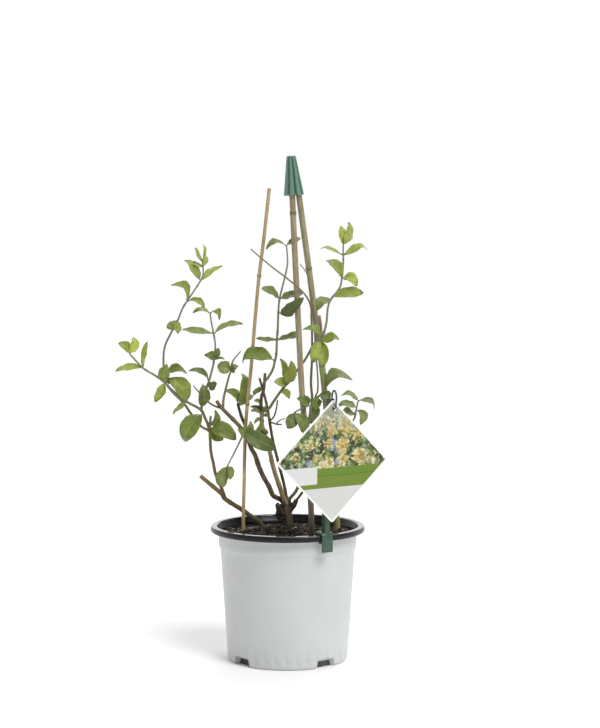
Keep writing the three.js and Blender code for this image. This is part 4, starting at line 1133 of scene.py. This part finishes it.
# Leafy stems. Each stem: its radii at the root and the tip, its points from root to tip in mm, its leaves,
# and its twigs, which are made in the same way. A leaf says where on the stem it stands (a place in the list
# of points), its reach to the tip, its width, its turn in degrees, its arch and its sweep.
leafyStems = {
    "stem_far_left": {
        "radii": (2, 1),
        "points": [
            (-69.2, 48, 166), (-72.3, 45, 176.5), (-77.7, 42, 190), (-80, 39, 197), (-81.7, 34, 208),
            (-83.9, 30, 220), (-84.6, 26, 234), (-85.4, 23, 247), (-89.7, 20, 258.5), (-93.9, 17, 267.5),
            (-105.6, 13, 275), (-114.5, 10, 280.5), (-125.1, 5, 291), (-131.8, 2, 298.5), (-142.3, -4, 307),
            (-154.1, -9, 315), (-165.9, -13, 328), (-167.9, -15, 331),
        ],
        "leaves": [
            (17, (-11.2, -4, 11.7), 10.5, 25, 0, 2.9), (17, (4.8, 3, 17.6), 11.5, 25, 0, 1.6),
            (15, (4.4, 4, 28.4), 8, 40, 0, -3), (15, (-29.7, -6, -2.7), 9, 40, 0, 2),
            (13, (-10.8, -8, -20.4), 11.5, 25, 0, -1), (13, (2.3, -7, 20.9), 13.5, 25, 1, -2.8),
            (10.3, (-18.7, -1, 26.6), 19.5, 18, 2, 4.2), (10.5, (-14.5, -6, -12.7), 7, 40, 0, 0),
            (8.6, (-23.5, -8, -31.7), 21.5, 15, 2, 2.5), (7.2, (7.6, -5, 18.1), 8.5, 25, 0, 5.6),
            (7, (29.7, -10, -10.5), 18, 22, 3, 3), (7, (15.5, -4, -12.7), 12, 10, 0, -1),
        ],
        "twigs": [
            {
                "radii": (1.6, 1.2),
                "points": [(-85, 22, 246), (-84.2, 20, 253), (-83.6, 19, 261)],
                "leaves": [],
            },
        ],
    },
    "stem_arching": {
        "radii": (1.5, 0.8),
        "points": [
            (-85.8, 22.6, 244.4), (-95.2, 21, 250.5), (-104.8, 20, 263), (-113.3, 19, 275.5),
            (-125.1, 17, 287.5), (-131.5, 14, 297.5), (-133.5, 11, 309.5), (-133.5, 8, 328),
            (-131.3, 6, 339), (-126.1, 4, 350), (-117.8, 0, 365), (-112.4, -3, 378), (-107.5, -5, 386),
            (-101.2, -7, 395), (-92.7, -9, 408), (-89.5, -11, 416), (-90.2, -13, 428),
        ],
        "leaves": [
            (16, (-6.4, -2, 17.4), 4.5, 35, 0, -2), (16, (3, 2, 20.5), 3.5, 45, 0, 0),
            (15.6, (4.1, -4, 13.2), 6.5, 35, 0, 0), (15.6, (-14.9, 3, 4.9), 6, 40, 0, 0.5),
            (14, (-15.4, -6, 25.2), 10, 30, 0, 0.8), (14, (23.1, 5, 15.7), 8.5, 40, 0, 1),
            (12.1, (-16.4, -3, 18.6), 11, 40, 0, 8), (12, (19.7, -6, -7), 8.5, 40, 0, 4.6),
            (10, (-11.6, -4, -7), 11, 15, 1, -2), (10, (1.7, -7, -13.3), 9, 25, 1, -1.2),
            (5.6, (24.9, -5, 6.9), 11, 40, 0, 4.8), (5.6, (7.1, 5, -9.3), 6, 20, 0, 1),
        ],
    },
    "stem_left_centre": {
        "radii": (1.4, 0.8),
        "points": [
            (-93.9, 17, 267.5), (-90.5, 15, 284), (-85, 13, 299.5), (-81.7, 11, 311), (-79.2, 9, 322.5),
            (-77.8, 7, 337.5), (-79.1, 5, 349.5), (-81.3, 3, 361), (-83.1, 1, 373.5),
        ],
        "leaves": [
            (8, (-18.3, -3, 0.3), 6, 40, 0, 3.5), (8, (11.3, -6, -6), 7.5, 35, 0, 6),
            (6.15, (-34.2, -5, 5.8), 8.5, 42, 0, 0.8), (6.1, (31.3, 4, 10.3), 8.5, 42, 0, 5.5),
            (4, (-9.4, -6, 6.8), 11, 25, 1, 2), (4, (5.4, -2, 13.4), 7, 30, 0, 0),
            (2, (-21.9, -5, 12.2), 7.5, 42, 0, 5), (0.15, (3, -7, 26.3), 13.5, 20, 2, 0),
            (1.7, (10.3, -3, 2), 11, 20, 1, -3.2), (4, (11.6, -4, 1.7), 3.5, 40, 0, 1.2),
        ],
    },
    "stem_cut_end": {
        "radii": (1.5, 0.7),
        "points": [
            (-69.5, 1.5, 271), (-68.8, 1, 281), (-66.6, 0, 291), (-63, -2, 305), (-60.8, -3, 311),
            (-58.6, -4, 322), (-50, -6, 333),
        ],
        "leaves": [(4.3, (-15.3, -5, 4.6), 15, 15, 2, -1.5), (4.3, (6.1, -7, 3.2), 11.5, 20, 1, -1)],
    },
    "stem_tall_centre": {
        "radii": (1.4, 0.8),
        "points": [
            (-25, -1, 299), (-19.9, -4, 306), (-15.8, -6, 313.5), (-13.5, -8, 322.5), (-12, -9, 330),
            (-11.3, -10, 345), (-10.4, -11, 357.5), (-9.6, -12, 378), (-8.4, -13, 389), (-5.6, -13, 401),
            (-2.9, -14, 411.5), (-0.1, -13, 425), (-0.1, -12, 434.5), (-1.1, -11, 445.5),
        ],
        "leaves": [
            (13, (-22.3, -5, -2.9), 8, 48, 0, 5.5), (13, (15.5, 12, 9.2), 7.5, 35, 0, 0.5),
            (8, (-19, -5, 12), 11, 40, 0, 1), (8, (25.1, 6, 7.5), 10.5, 45, 0, 1),
            (6.8, (25.2, -24, 17.3), 14.5, 25, 2, -6.5), (5, (-22.9, 4, 2.2), 6.5, 45, 0, -0.8),
            (5, (28.7, 6, 8), 10, 45, 0, 0), (3, (-40.6, 11, 2.3), 16.5, 33, 0, 7.5),
        ],
    },
    "stem_tall_right": {
        "radii": (1.6, 0.9),
        "points": [
            (-27.6, 5, 266.5), (-20.5, 3, 270), (-14.6, 1, 279), (-8.4, -2, 288), (-3.1, -3, 295),
            (1.6, -4, 300), (10.6, -6, 313), (19.1, -8, 324.5), (28.3, -10, 341), (34.6, -10, 345),
            (36.8, -10, 346.5), (41.3, -9, 362.5), (43, -8, 379), (46.5, -7, 388.5), (55.4, -5, 400),
            (58.1, -4, 411), (59.4, -3, 425), (59.4, -2.5, 438.5), (59.4, -2, 446),
        ],
        "leaves": [
            (18, (-1.9, -3, 21.2), 9.5, 32, 1, -1.2), (18, (6.9, 3, 25.2), 11, 32, 1, 2),
            (16.7, (-24.5, -4, 11.7), 5, 50, 0, 1), (16.7, (27, 5, 13.8), 10, 42, 0, 0),
            (15, (-16.6, -6, 20.2), 12, 25, 1, 3.8), (15, (16.3, -7, -8), 12.5, 20, 1, 4.2),
            (13.2, (33, -6, 5), 13, 30, 0, 2.5), (13, (-15.9, -4, -11.5), 12, 25, 1, 3.8),
            (9.5, (-18, -6, 14.9), 9.5, 42, 0, 6), (9.5, (19.5, -6, 3.4), 12, 30, 1, 0),
            (9, (-6, -9, -24.5), 12.5, 18, 1, -2), (9.7, (0.5, -7, -29), 12.5, -15, 1, 2.5),
            (4.5, (7.4, -9, 25.9), 14.5, 20, 2, -1), (4.3, (-5.7, -6, 29.4), 10, 35, 0, 2.5),
            (4.3, (-12.4, -8, 3.9), 10.5, 15, 1, 2), (3.2, (9.9, -6, -6.7), 9, 30, 1, 1.5),
        ],
    },
    "stem_twining": {
        "radii": (1.9, 0.7),
        "points": [
            (-0.5, 20, 168), (10, 17, 181), (14, 14, 200), (18, 10, 230), (23, 6, 258), (26.2, 3, 280),
            (25.1, 2, 297), (25.6, 0, 312), (26.2, -1, 325), (26.2, -2, 350), (25.4, -2, 369),
            (25, -3, 380), (20.4, -9, 391), (11.2, -24, 401.5), (-1.6, -22, 412), (-13.7, -20.5, 421),
            (-27.1, -21, 432), (-38.8, -19, 442),
        ],
        "leaves": [(5, (-1.6, 1, -26.2), 12.5, 15, 1, 3)],
        "twigs": [
            {
                "radii": (1, 0.5),
                "points": [
                    (25.6, 3, 272), (30, 8, 283), (32.7, 8, 296), (29.4, 5, 344), (28.1, 3, 366),
                    (26, 0.5, 385), (22.9, -2, 405.5), (20.3, -3, 416), (13.3, -6, 426),
                ],
                "leaves": [],
            },
            {
                "radii": (1.2, 1),
                "points": [(26.2, 3, 279), (33, -4, 284), (40, -8, 291)],
                "leaves": [
                    (2, (29.2, -6, 12.1), 13, 25, 1, 11.5), (2, (-5.9, 3, 26.8), 8, 40, 1, 1),
                    (1, (-5, -8, -13.9), 12, 20, 1, -1), (1.5, (9.1, -6, -7.1), 14, 25, 2, 0),
                ],
            },
        ],
    },
    "sprig_front_cane": {
        "radii": (1.2, 0.9),
        "points": [
            (20.5, 8, 246), (24, -6, 262), (24.5, -20, 272), (23.5, -31, 277), (18, -37.5, 276),
            (7.6, -37.5, 270.3),
        ],
        "leaves": [
            (3, (-13.1, -9, 8.5), 12.5, 22, 1, 1), (5, (-6.8, -5, -17.4), 13.5, 15, 1, 0),
            (5, (10.6, -5, -21.1), 13.5, 18, 1, 3),
        ],
    },
    "stem_behind_tag": {
        "radii": (1.5, 0.9),
        "points": [
            (8.5, 18, 168), (14, 11, 176), (22, 4, 188), (38, -2, 212), (58, -8, 240), (70.9, -12, 260.5),
            (73, -13, 270), (75.5, -14, 280.5),
        ],
        "leaves": [
            (7, (-17.7, -3, 9.3), 8, 42, 0, 2.6), (7, (19.5, -4, -6.2), 7.5, 42, 0, 4.4),
            (6.3, (-20.9, -6, 3.8), 9.5, 38, 0, 2.6), (5.4, (-13.2, 3, 9.1), 8.5, 40, 0, -1.5),
            (6.1, (4, -7, -15.8), 11.5, 20, 1, 5),
        ],
    },
    "sprig_low_left": {
        "radii": (1.1, 0.8),
        "points": [(-46.9, 5, 244), (-50, 0, 238), (-57, -4, 224), (-64.3, -6, 210)],
        "leaves": [(3, (-6.4, -4, -25.3), 14.5, 15, 2, -3.2), (3, (2.4, -8, -14.1), 9, 30, 1, 1.5)],
    },
}

# Leaves that stand on the old wood: the branch, the place in its points, and the rest as above.
crownLeaves = [
    ("leftBranch", 7.7, (-10, -9, 9.5), 12.5, 15, 1, 2), ("leftBranch", 7.6, (4, -7, 19.6), 8.5, 20, 1, 0),
    ("leftBranch", 8.1, (39.3, -14, -19.7), 18, 15, 3, -2), ("darkStub", 5, (9.2, 1, 35.9), 12, 25, 1, 2),
    ("darkStub", 5, (-13.4, -4, 16.6), 10, 35, 0, 3.5), ("darkStub", 4.8, (16.8, 4, 12), 9, 25, 1, 1),
    ("deadStick", 6, (-10.2, -3, -7.6), 7, 30, 1, 0),
    ("deadStick", 4.6, (-19.8, -10, 7.2), 6.5, 35, 0, 1.5),
    ("cutTwig", 0.2, (-12.2, -4, -25.9), 6, 25, 0, 4.5), ("cutTwig", 1, (-7.3, -5, 4.6), 6, 45, 0, 1),
    ("middleBranch", 6.6, (1.9, -3, 5), 5.5, 20, 1, 0), ("middleBranch", 8.7, (-12, -5, 4), 5, 35, 1, 2),
    ("middleBranch", 8.3, (-8, -6, -5), 4.5, 25, 2, 1), ("middleBranch", 8.5, (10, -4, -3), 5, 30, 1, 2.5),
    ("middleBranch", 8.9, (6, -5, 8), 4, 40, 1, -1),
]

# How light the leaves are at the root, the middle and the tip of a stem, from the oldest (0) to a growing tip
# (1), and how much bloom they have, which is the grey wax of dry leaves. On stem_tall_right the root's value
# is painted light, not age.
leafLook = {
    "stem_far_left": ((0.3, 0.48, 0.8), 0.05),
    "stem_arching": ((0.4, 0.5, 0.85), 0.1),
    "stem_left_centre": ((0.28, 0.42, 0.66), 0.18),
    "stem_cut_end": ((0.36, 0.4, 0.42), 0.15),
    "stem_tall_centre": ((0.34, 0.42, 0.5), 0.2),
    # painted light: the old leaves low on this stem are made light to stand in for light shining through them
    "stem_tall_right": ((0.96, 0.54, 0.82), 0.08),
    "stem_twining": ((0.24, 0.28, 0.32), 0.15),
    "sprig_front_cane": ((0.3, 0.3, 0.3), 0.15),
    "stem_behind_tag": ((0.36, 0.42, 0.46), 0.5),
    "sprig_low_left": ((0.32, 0.34, 0.36), 0.2),
    "crown": ((0.3, 0.4, 0.5), 0.12),
}

# How green a stem is at its root and its tip, from brown bark (0) to green (1).
usualEnds = (0.4, 0.95)
stemEnds = {
    "stem_far_left": (0.0, 0.95), "stem_cut_end": (0.1, 0.9), "stem_tall_right": (0.5, 0.95),
    "stem_tall_centre": (0.25, 0.95), "stem_twining": (0.45, 0.36),
}

# Leaves that differ from their stem's: the stem and the leaf's number, then how light it is and its bloom.
# Leaves 10 to 12 of stem_tall_right are made lighter as painted light.
leafMarks = {
    ("stem_tall_centre", 4): (0.08, 0), ("stem_tall_centre", 7): (0.5, 0.05),
    # painted light: these three leaves are lightened to stand in for light shining through them
    ("stem_tall_right", 10): (0.74, 0), ("stem_tall_right", 11): (0.7, 0), ("stem_tall_right", 12): (0.72, 0),
    ("stem_left_centre", 7): (0.3, 0), ("crown", 3): (0.62, 0.05), ("crown", 4): (0.55, 0.1),
    ("crown", 5): (0.6, 0.1), ("crown", 9): (0.5, 0.05), ("crown", 11): (0.15, 0.35),
    ("crown", 12): (0.2, 0.3), ("crown", 13): (0.1, 0.3), ("crown", 14): (0.25, 0.3),
}

leafShape = {
    "stations": 30,  # steps along the blade
    "across": 12,
    "stalk": 0.07,  # share of the length
    "outline": (0.62, 0.68),  # how round the base and the tip are
    "fold": (0.16, 0.5),  # radians that each half is raised
    "wave": 0.1,  # of the width, how far the edges rise and fall
    "frill": 0.045,
    "curl": (-0.3, 3),  # how far the tip bends down
    "waves": (8, 0.9),  # how fast the waves and the frills run, along the blade and across it
    "frills": (19, 1.5),
    "hook": (0.68, 0.4),  # where the tip starts to bend, and how much of the bend shortens the leaf
    "veinBands": 7.5,  # bands along the blade; a side vein runs between every second pair
    "veinSlant": 0.62,
    "quilt": 0.015,  # of the width, how far the blade puffs up in each band
    "thickness": 0.35,
}
stemShape = {
    "step": 1.1,  # mm along a stem
    "sides": 10,
    "jointSwell": 0.26,  # of the radius, where leaves stand
    "unevenness": 0.06,
    "bud": (0.7, 0.7, 1.2),
    "budTone": 0.7,
}
leafSkins = {  # greens from old to young, then the colours of the dry edge, the bloom and the veins
    "top": {
        "greens": [(0.0, "#475625"), (0.3, "#5e6f2e"), (0.55, "#778737"), (0.8, "#9aa542"), (1.0, "#b9c257")],
        "dry": "#66654a", "bloom": "#8b8f70", "vein": "#a3ab6b", "veinShow": 0.4, "roughness": 0.45,
    },
    "underside": {
        "greens": [(0.0, "#707853"), (0.4, "#868d64"), (0.7, "#9ca370"), (1.0, "#b8be80")],
        "dry": "#7b7a5c", "bloom": "#a3a793", "vein": "#b6bb92", "veinShow": 0.6, "roughness": 0.6,
    },
}


# Leaf skin: waxy and faintly mottled, with pale veins. The map runs from stalk to tip and across, so that the
# side veins branch off the midrib at a slant.
def leafSkin(name, look):
    material, tree, shader = newMaterial(name, IOR=1.45)
    uv = addNode(tree, "UVMap", uv_map="UVMap")
    axes = addNode(tree, "SeparateXYZ", {0: uv})
    side = addNode(tree, "Math", {0: axes.outputs["Y"], 1: 0.5}, operation="SUBTRACT")
    edge = addNode(tree, "Math", {0: side}, operation="ABSOLUTE")  # 0.5 at the margin
    tone = addNode(tree, "Attribute", attribute_name="tone").outputs["Fac"]
    spot = addNode(tree, "TexCoord").outputs["Object"]
    mottle = addNode(tree, "TexNoise", {"Vector": spot, "Scale": 210.0, "Detail": 2.0})
    patches = {"Value": mottle, "From Min": 0.3, "From Max": 0.7, "To Min": -0.09, "To Max": 0.09}
    spread = addNode(tree, "MapRange", patches)
    age = addNode(tree, "Math", {0: tone, 1: spread}, operation="ADD")
    green = addNode(tree, "ValToRGB", {"Fac": age}, stops=look["greens"])
    pale = addNode(tree, "Attribute", attribute_name="bloom").outputs["Fac"]
    body = addNode(tree, "Mix", {0: pale, 6: green, 7: toLinear(look["bloom"])}, data_type="RGBA")

    # side veins: bands of the place along the blade, pushed towards the tip as they run outwards
    veinSlant = leafShape["veinSlant"]
    slant = addNode(tree, "Math", {0: edge, 1: -veinSlant, 2: axes.outputs["X"]}, operation="MULTIPLY_ADD")
    bands = addNode(tree, "Math", {0: slant, 1: leafShape["veinBands"]}, operation="MULTIPLY")
    saw = addNode(tree, "Math", {0: bands, 1: 1.0}, operation="PINGPONG")
    sideVein = addNode(
        tree, "MapRange", {"Value": saw, "From Min": 0.0, "From Max": 0.13, "To Min": 1.0, "To Max": 0.0},
    )
    midVein = addNode(
        tree, "MapRange", {"Value": edge, "From Min": 0.012, "From Max": 0.04, "To Min": 1.0, "To Max": 0.0},
    )
    thin = addNode(tree, "Math", {0: sideVein, 1: 0.55}, operation="MULTIPLY")
    veins = addNode(tree, "Math", {0: thin, 1: midVein}, operation="MAXIMUM")
    show = addNode(tree, "Math", {0: veins, 1: look["veinShow"]}, operation="MULTIPLY")
    veined = addNode(tree, "Mix", {0: show, 6: body, 7: toLinear(look["vein"])}, data_type="RGBA")
    hem = addNode(tree, "MapRange", {"Value": edge, "From Min": 0.46, "From Max": 0.5, "To Max": 0.4})
    point = {"Value": axes.outputs["X"], "From Min": 0.86, "From Max": 0.97, "To Max": 0.75}
    dry = addNode(tree, "Math", {0: hem, 1: addNode(tree, "MapRange", point)}, operation="MAXIMUM")
    skin = addNode(tree, "Mix", {0: dry, 6: veined, 7: toLinear(look["dry"])}, data_type="RGBA")
    pucker = addNode(tree, "TexNoise", {"Vector": spot, "Scale": 520.0, "Detail": 1.0})
    relief = addNode(tree, "Math", {0: veins, 1: -0.3, 2: pucker}, operation="MULTIPLY_ADD")
    bump = addNode(tree, "Bump", {"Height": relief, "Strength": 0.65, "Distance": 0.3 * mm})
    rough = look["roughness"]
    gloss = addNode(tree, "MapRange", {"Value": mottle, "To Min": rough - 0.08, "To Max": rough + 0.1})
    feed(shader, {"Base Color": skin, "Roughness": gloss, "Normal": bump})
    return material


# Young honeysuckle bark: brown, olive, then green towards the tip, with fine streaks along it.
def stemSkin():
    material, tree, shader = newMaterial("youngHoneysuckleStem", IOR=1.45)
    tone = addNode(tree, "Attribute", attribute_name="tone").outputs["Fac"]
    along = addNode(tree, "UVMap", uv_map="UVMap")
    streaks = addNode(tree, "Mapping", {"Vector": along, "Scale": (0.7, 8, 1)})  # 1.3 mm wide
    grain = addNode(tree, "TexNoise", {"Vector": streaks, "Scale": 1.0, "Detail": 4.0})
    spread = addNode(
        tree, "MapRange", {"Value": grain, "From Min": 0.3, "From Max": 0.7, "To Min": -0.12, "To Max": 0.12},
    )
    age = addNode(tree, "Math", {0: tone, 1: spread}, operation="ADD")
    stops = [(0.0, "#876647"), (0.3, "#77684a"), (0.5, "#70704d"), (0.75, "#757868"), (1.0, "#868c66")]
    tint = addNode(tree, "ValToRGB", {"Fac": age}, stops=stops)
    bump = addNode(tree, "Bump", {"Height": grain, "Strength": 0.5, "Distance": 0.25 * mm})
    rough = addNode(tree, "MapRange", {"Value": grain, "To Min": 0.42, "To Max": 0.62})
    feed(shader, {"Base Color": tint, "Roughness": rough, "Normal": bump})
    return material


# The blade's own axes: along the midrib, out of the upper side, across, and upwards as seen from the front.
def leafAxes(reach, turn):
    along = Vector(reach).normalized()
    front = Vector((0, -1, 0))
    face = (front - along * front.dot(along)).normalized()
    up = along.cross(face)
    if up.x + 2 * up.z < 0:
        up.negate()
    angle = math.radians(turn)
    normal = face * math.cos(angle) + up * math.sin(angle)
    across = up * math.cos(angle) - face * math.sin(angle)
    if along.cross(across).dot(normal) < 0:
        across.negate()
    return along, normal, across, up


# Adds one leaf: a stalk and a midrib below, and a grid bent into the folded, waved and curled blade.
def addLeaf(blades, stems, root, leaf, look, draw):
    reach, width, turn, arch, sweep = leaf
    tone, bloom = look
    length = Vector(reach).length
    along, normal, across, up = leafAxes(reach, turn)
    phase = draw.uniform(0, 6.28)
    twist = draw.uniform(-0.55, 0.55)
    fold = draw.uniform(*leafShape["fold"])
    curl = draw.uniform(*leafShape["curl"])
    upwards = up * (sweep + draw.uniform(-0.03, 0.03) * length)
    stalk = leafShape["stalk"]
    hookStart, shorter = leafShape["hook"]

    def midrib(t):
        hook = curl * length * max(0, t - hookStart) ** 2
        bow = 4 * t * (1 - t)
        return root + along * (t * length - shorter * hook) + normal * (arch * bow - hook) + upwards * bow

    rib = [midrib(t) - normal * 0.15 for t in (0, 0.08, 0.3, 0.55, 0.8, 0.96)]
    stout = 0.3 + width / 60
    green = min(1, 0.55 + 0.5 * tone)
    addRod(stems, rib, lambda share, angle: stout * (1.15 - share) ** 0.8, 12, 6, green)

    if "UVMap" not in blades.loops.layers.uv:
        blades.loops.layers.uv.new("UVMap")
    tones = blades.verts.layers.float.get("tone") or blades.verts.layers.float.new("tone")
    blooms = blades.verts.layers.float.get("bloom") or blades.verts.layers.float.new("bloom")
    steps = leafShape["stations"] if length > 12 else 16
    rows = leafShape["across"]
    made = bmesh.ops.create_grid(blades, x_segments=steps, y_segments=rows, size=0.5, calc_uvs=True)["verts"]
    base, tip = leafShape["outline"]
    waveAlong, waveAcross = leafShape["waves"]
    frillAlong, frillAcross = leafShape["frills"]
    peak = (base / (base + tip)) ** base * (tip / (base + tip)) ** tip
    for vert in made:
        s = min(1, max(0, vert.co.x + 0.5))
        t = stalk + (1 - stalk) * s
        side = 2 * vert.co.y
        edge = abs(side)
        half = width / 2 * max(0.03, s ** base * (1 - s) ** tip / peak)
        lift = edge ** 1.2 * half * math.sin(fold)
        wave = math.sin(phase + t * waveAlong + waveAcross * side)
        lift += wave * leafShape["wave"] * width * edge * min(1, 4 * t)
        frill = math.sin(phase * 3 + t * frillAlong + frillAcross * side)
        lift += frill * leafShape["frill"] * width * edge * edge
        puff = math.cos((t - leafShape["veinSlant"] / 2 * edge) * leafShape["veinBands"] * math.pi * 2)
        lift -= leafShape["quilt"] * width * puff * min(1, 3 * edge) * min(1, 5 * s, 5 * (1 - s))
        turned = twist * (t - 0.35)
        out = side * half * math.cos(fold)
        level = out * math.cos(turned) - lift * math.sin(turned)
        rise = out * math.sin(turned) + lift * math.cos(turned)
        vert.co = (midrib(t) + across * level + normal * (rise + 0.2)) * mm
        vert[tones] = tone
        vert[blooms] = bloom


# Picks how light and how grey one leaf is from its place on the stem.
def leafTone(name, share, draw):
    (root, middle, tip), bloom = leafLook[name]
    tone = root + (middle - root) * 2 * share if share < 0.5 else middle + (tip - middle) * (2 * share - 1)
    return tone + draw.uniform(-0.15, 0.15), max(0, bloom + draw.uniform(-0.15, 0.15))


# Gives the loose blades a lower side in its own material and a real thickness.
def finishBlades(name, blades, upper, under):
    piece = finishMesh(name, blades, [upper, under])
    wall = piece.modifiers.new("wall", "SOLIDIFY")
    wall.thickness = leafShape["thickness"] * mm
    wall.offset = -1
    wall.material_offset = 1
    wall.material_offset_rim = 0
    return applyModifiers(piece)


# Adds a stem or a twig with its leaves and the buds in their corners.
def addStem(bm, blades, name, rod, marks, draw):
    points, (start, end) = rod["points"], rod["radii"]
    woody, green = stemEnds.get(name, usualEnds)
    last = len(points) - 1
    length = lineLength(points)
    joints = sorted({leaf[0] / last for leaf in rod["leaves"] if leaf[0] < last})

    def thick(share, angle):
        swell = sum(math.exp(-(((share - at) * length / 1.5) ** 2)) for at in joints)
        uneven = noise.noise((share * length / 9, math.cos(angle), math.sin(angle) + start * 9))
        joint = stemShape["jointSwell"] * min(1, swell)
        return (start + (end - start) * share) * (1 + joint + stemShape["unevenness"] * uneven)

    steps = max(8, round(length / stemShape["step"]))
    addRod(bm, points, thick, steps, stemShape["sides"], lambda share: woody + (green - woody) * share)
    tones = bm.verts.layers.float["tone"]
    for number, (at, *leaf) in enumerate(rod["leaves"]):
        root = onLine(points, at)
        look = leafTone(name, at / last, draw)
        addLeaf(blades, bm, root, leaf, marks.get((name, number), look), draw)
        bud = root + Vector(leaf[0]).normalized() * 1.6 + Vector((0, 0, 0.8))
        for vert in addLump(bm, bud, stemShape["bud"], draw, 1, 0.2):
            vert[tones] = stemShape["budTone"]


def makeLeafyStems():
    upper = leafSkin("honeysuckleLeafTop", leafSkins["top"])
    under = leafSkin("honeysuckleLeafUnderside", leafSkins["underside"])
    skin = stemSkin()
    for name, stem in leafyStems.items():
        draw = random.Random(name)
        first, *rest = name.split("_")
        pieceName = first + "".join(word.capitalize() for word in rest)
        bm, blades = bmesh.new(), bmesh.new()
        addStem(bm, blades, name, stem, leafMarks, draw)
        for twig in stem.get("twigs", []):
            addStem(bm, blades, name, twig, {}, draw)
        place(finishMesh(pieceName, bm, [skin]), "leafy_growth", name)
        place(finishBlades(pieceName + "Leaves", blades, upper, under), "leafy_growth", name)

    draw = random.Random(5)
    bm, blades = bmesh.new(), bmesh.new()
    for number, (branch, at, *leaf) in enumerate(crownLeaves):
        root = onLine(crownBranches[branch]["points"], at)
        look = leafTone("crown", draw.random(), draw)
        addLeaf(blades, bm, root, leaf, leafMarks.get(("crown", number), look), draw)
    place(finishMesh("crownLeafStalks", bm, [skin]), "leafy_growth", "crown")
    place(finishBlades("crownLeaves", blades, upper, under), "leafy_growth", "crown")
    print("leafy stems ready")


makeLeafyStems()
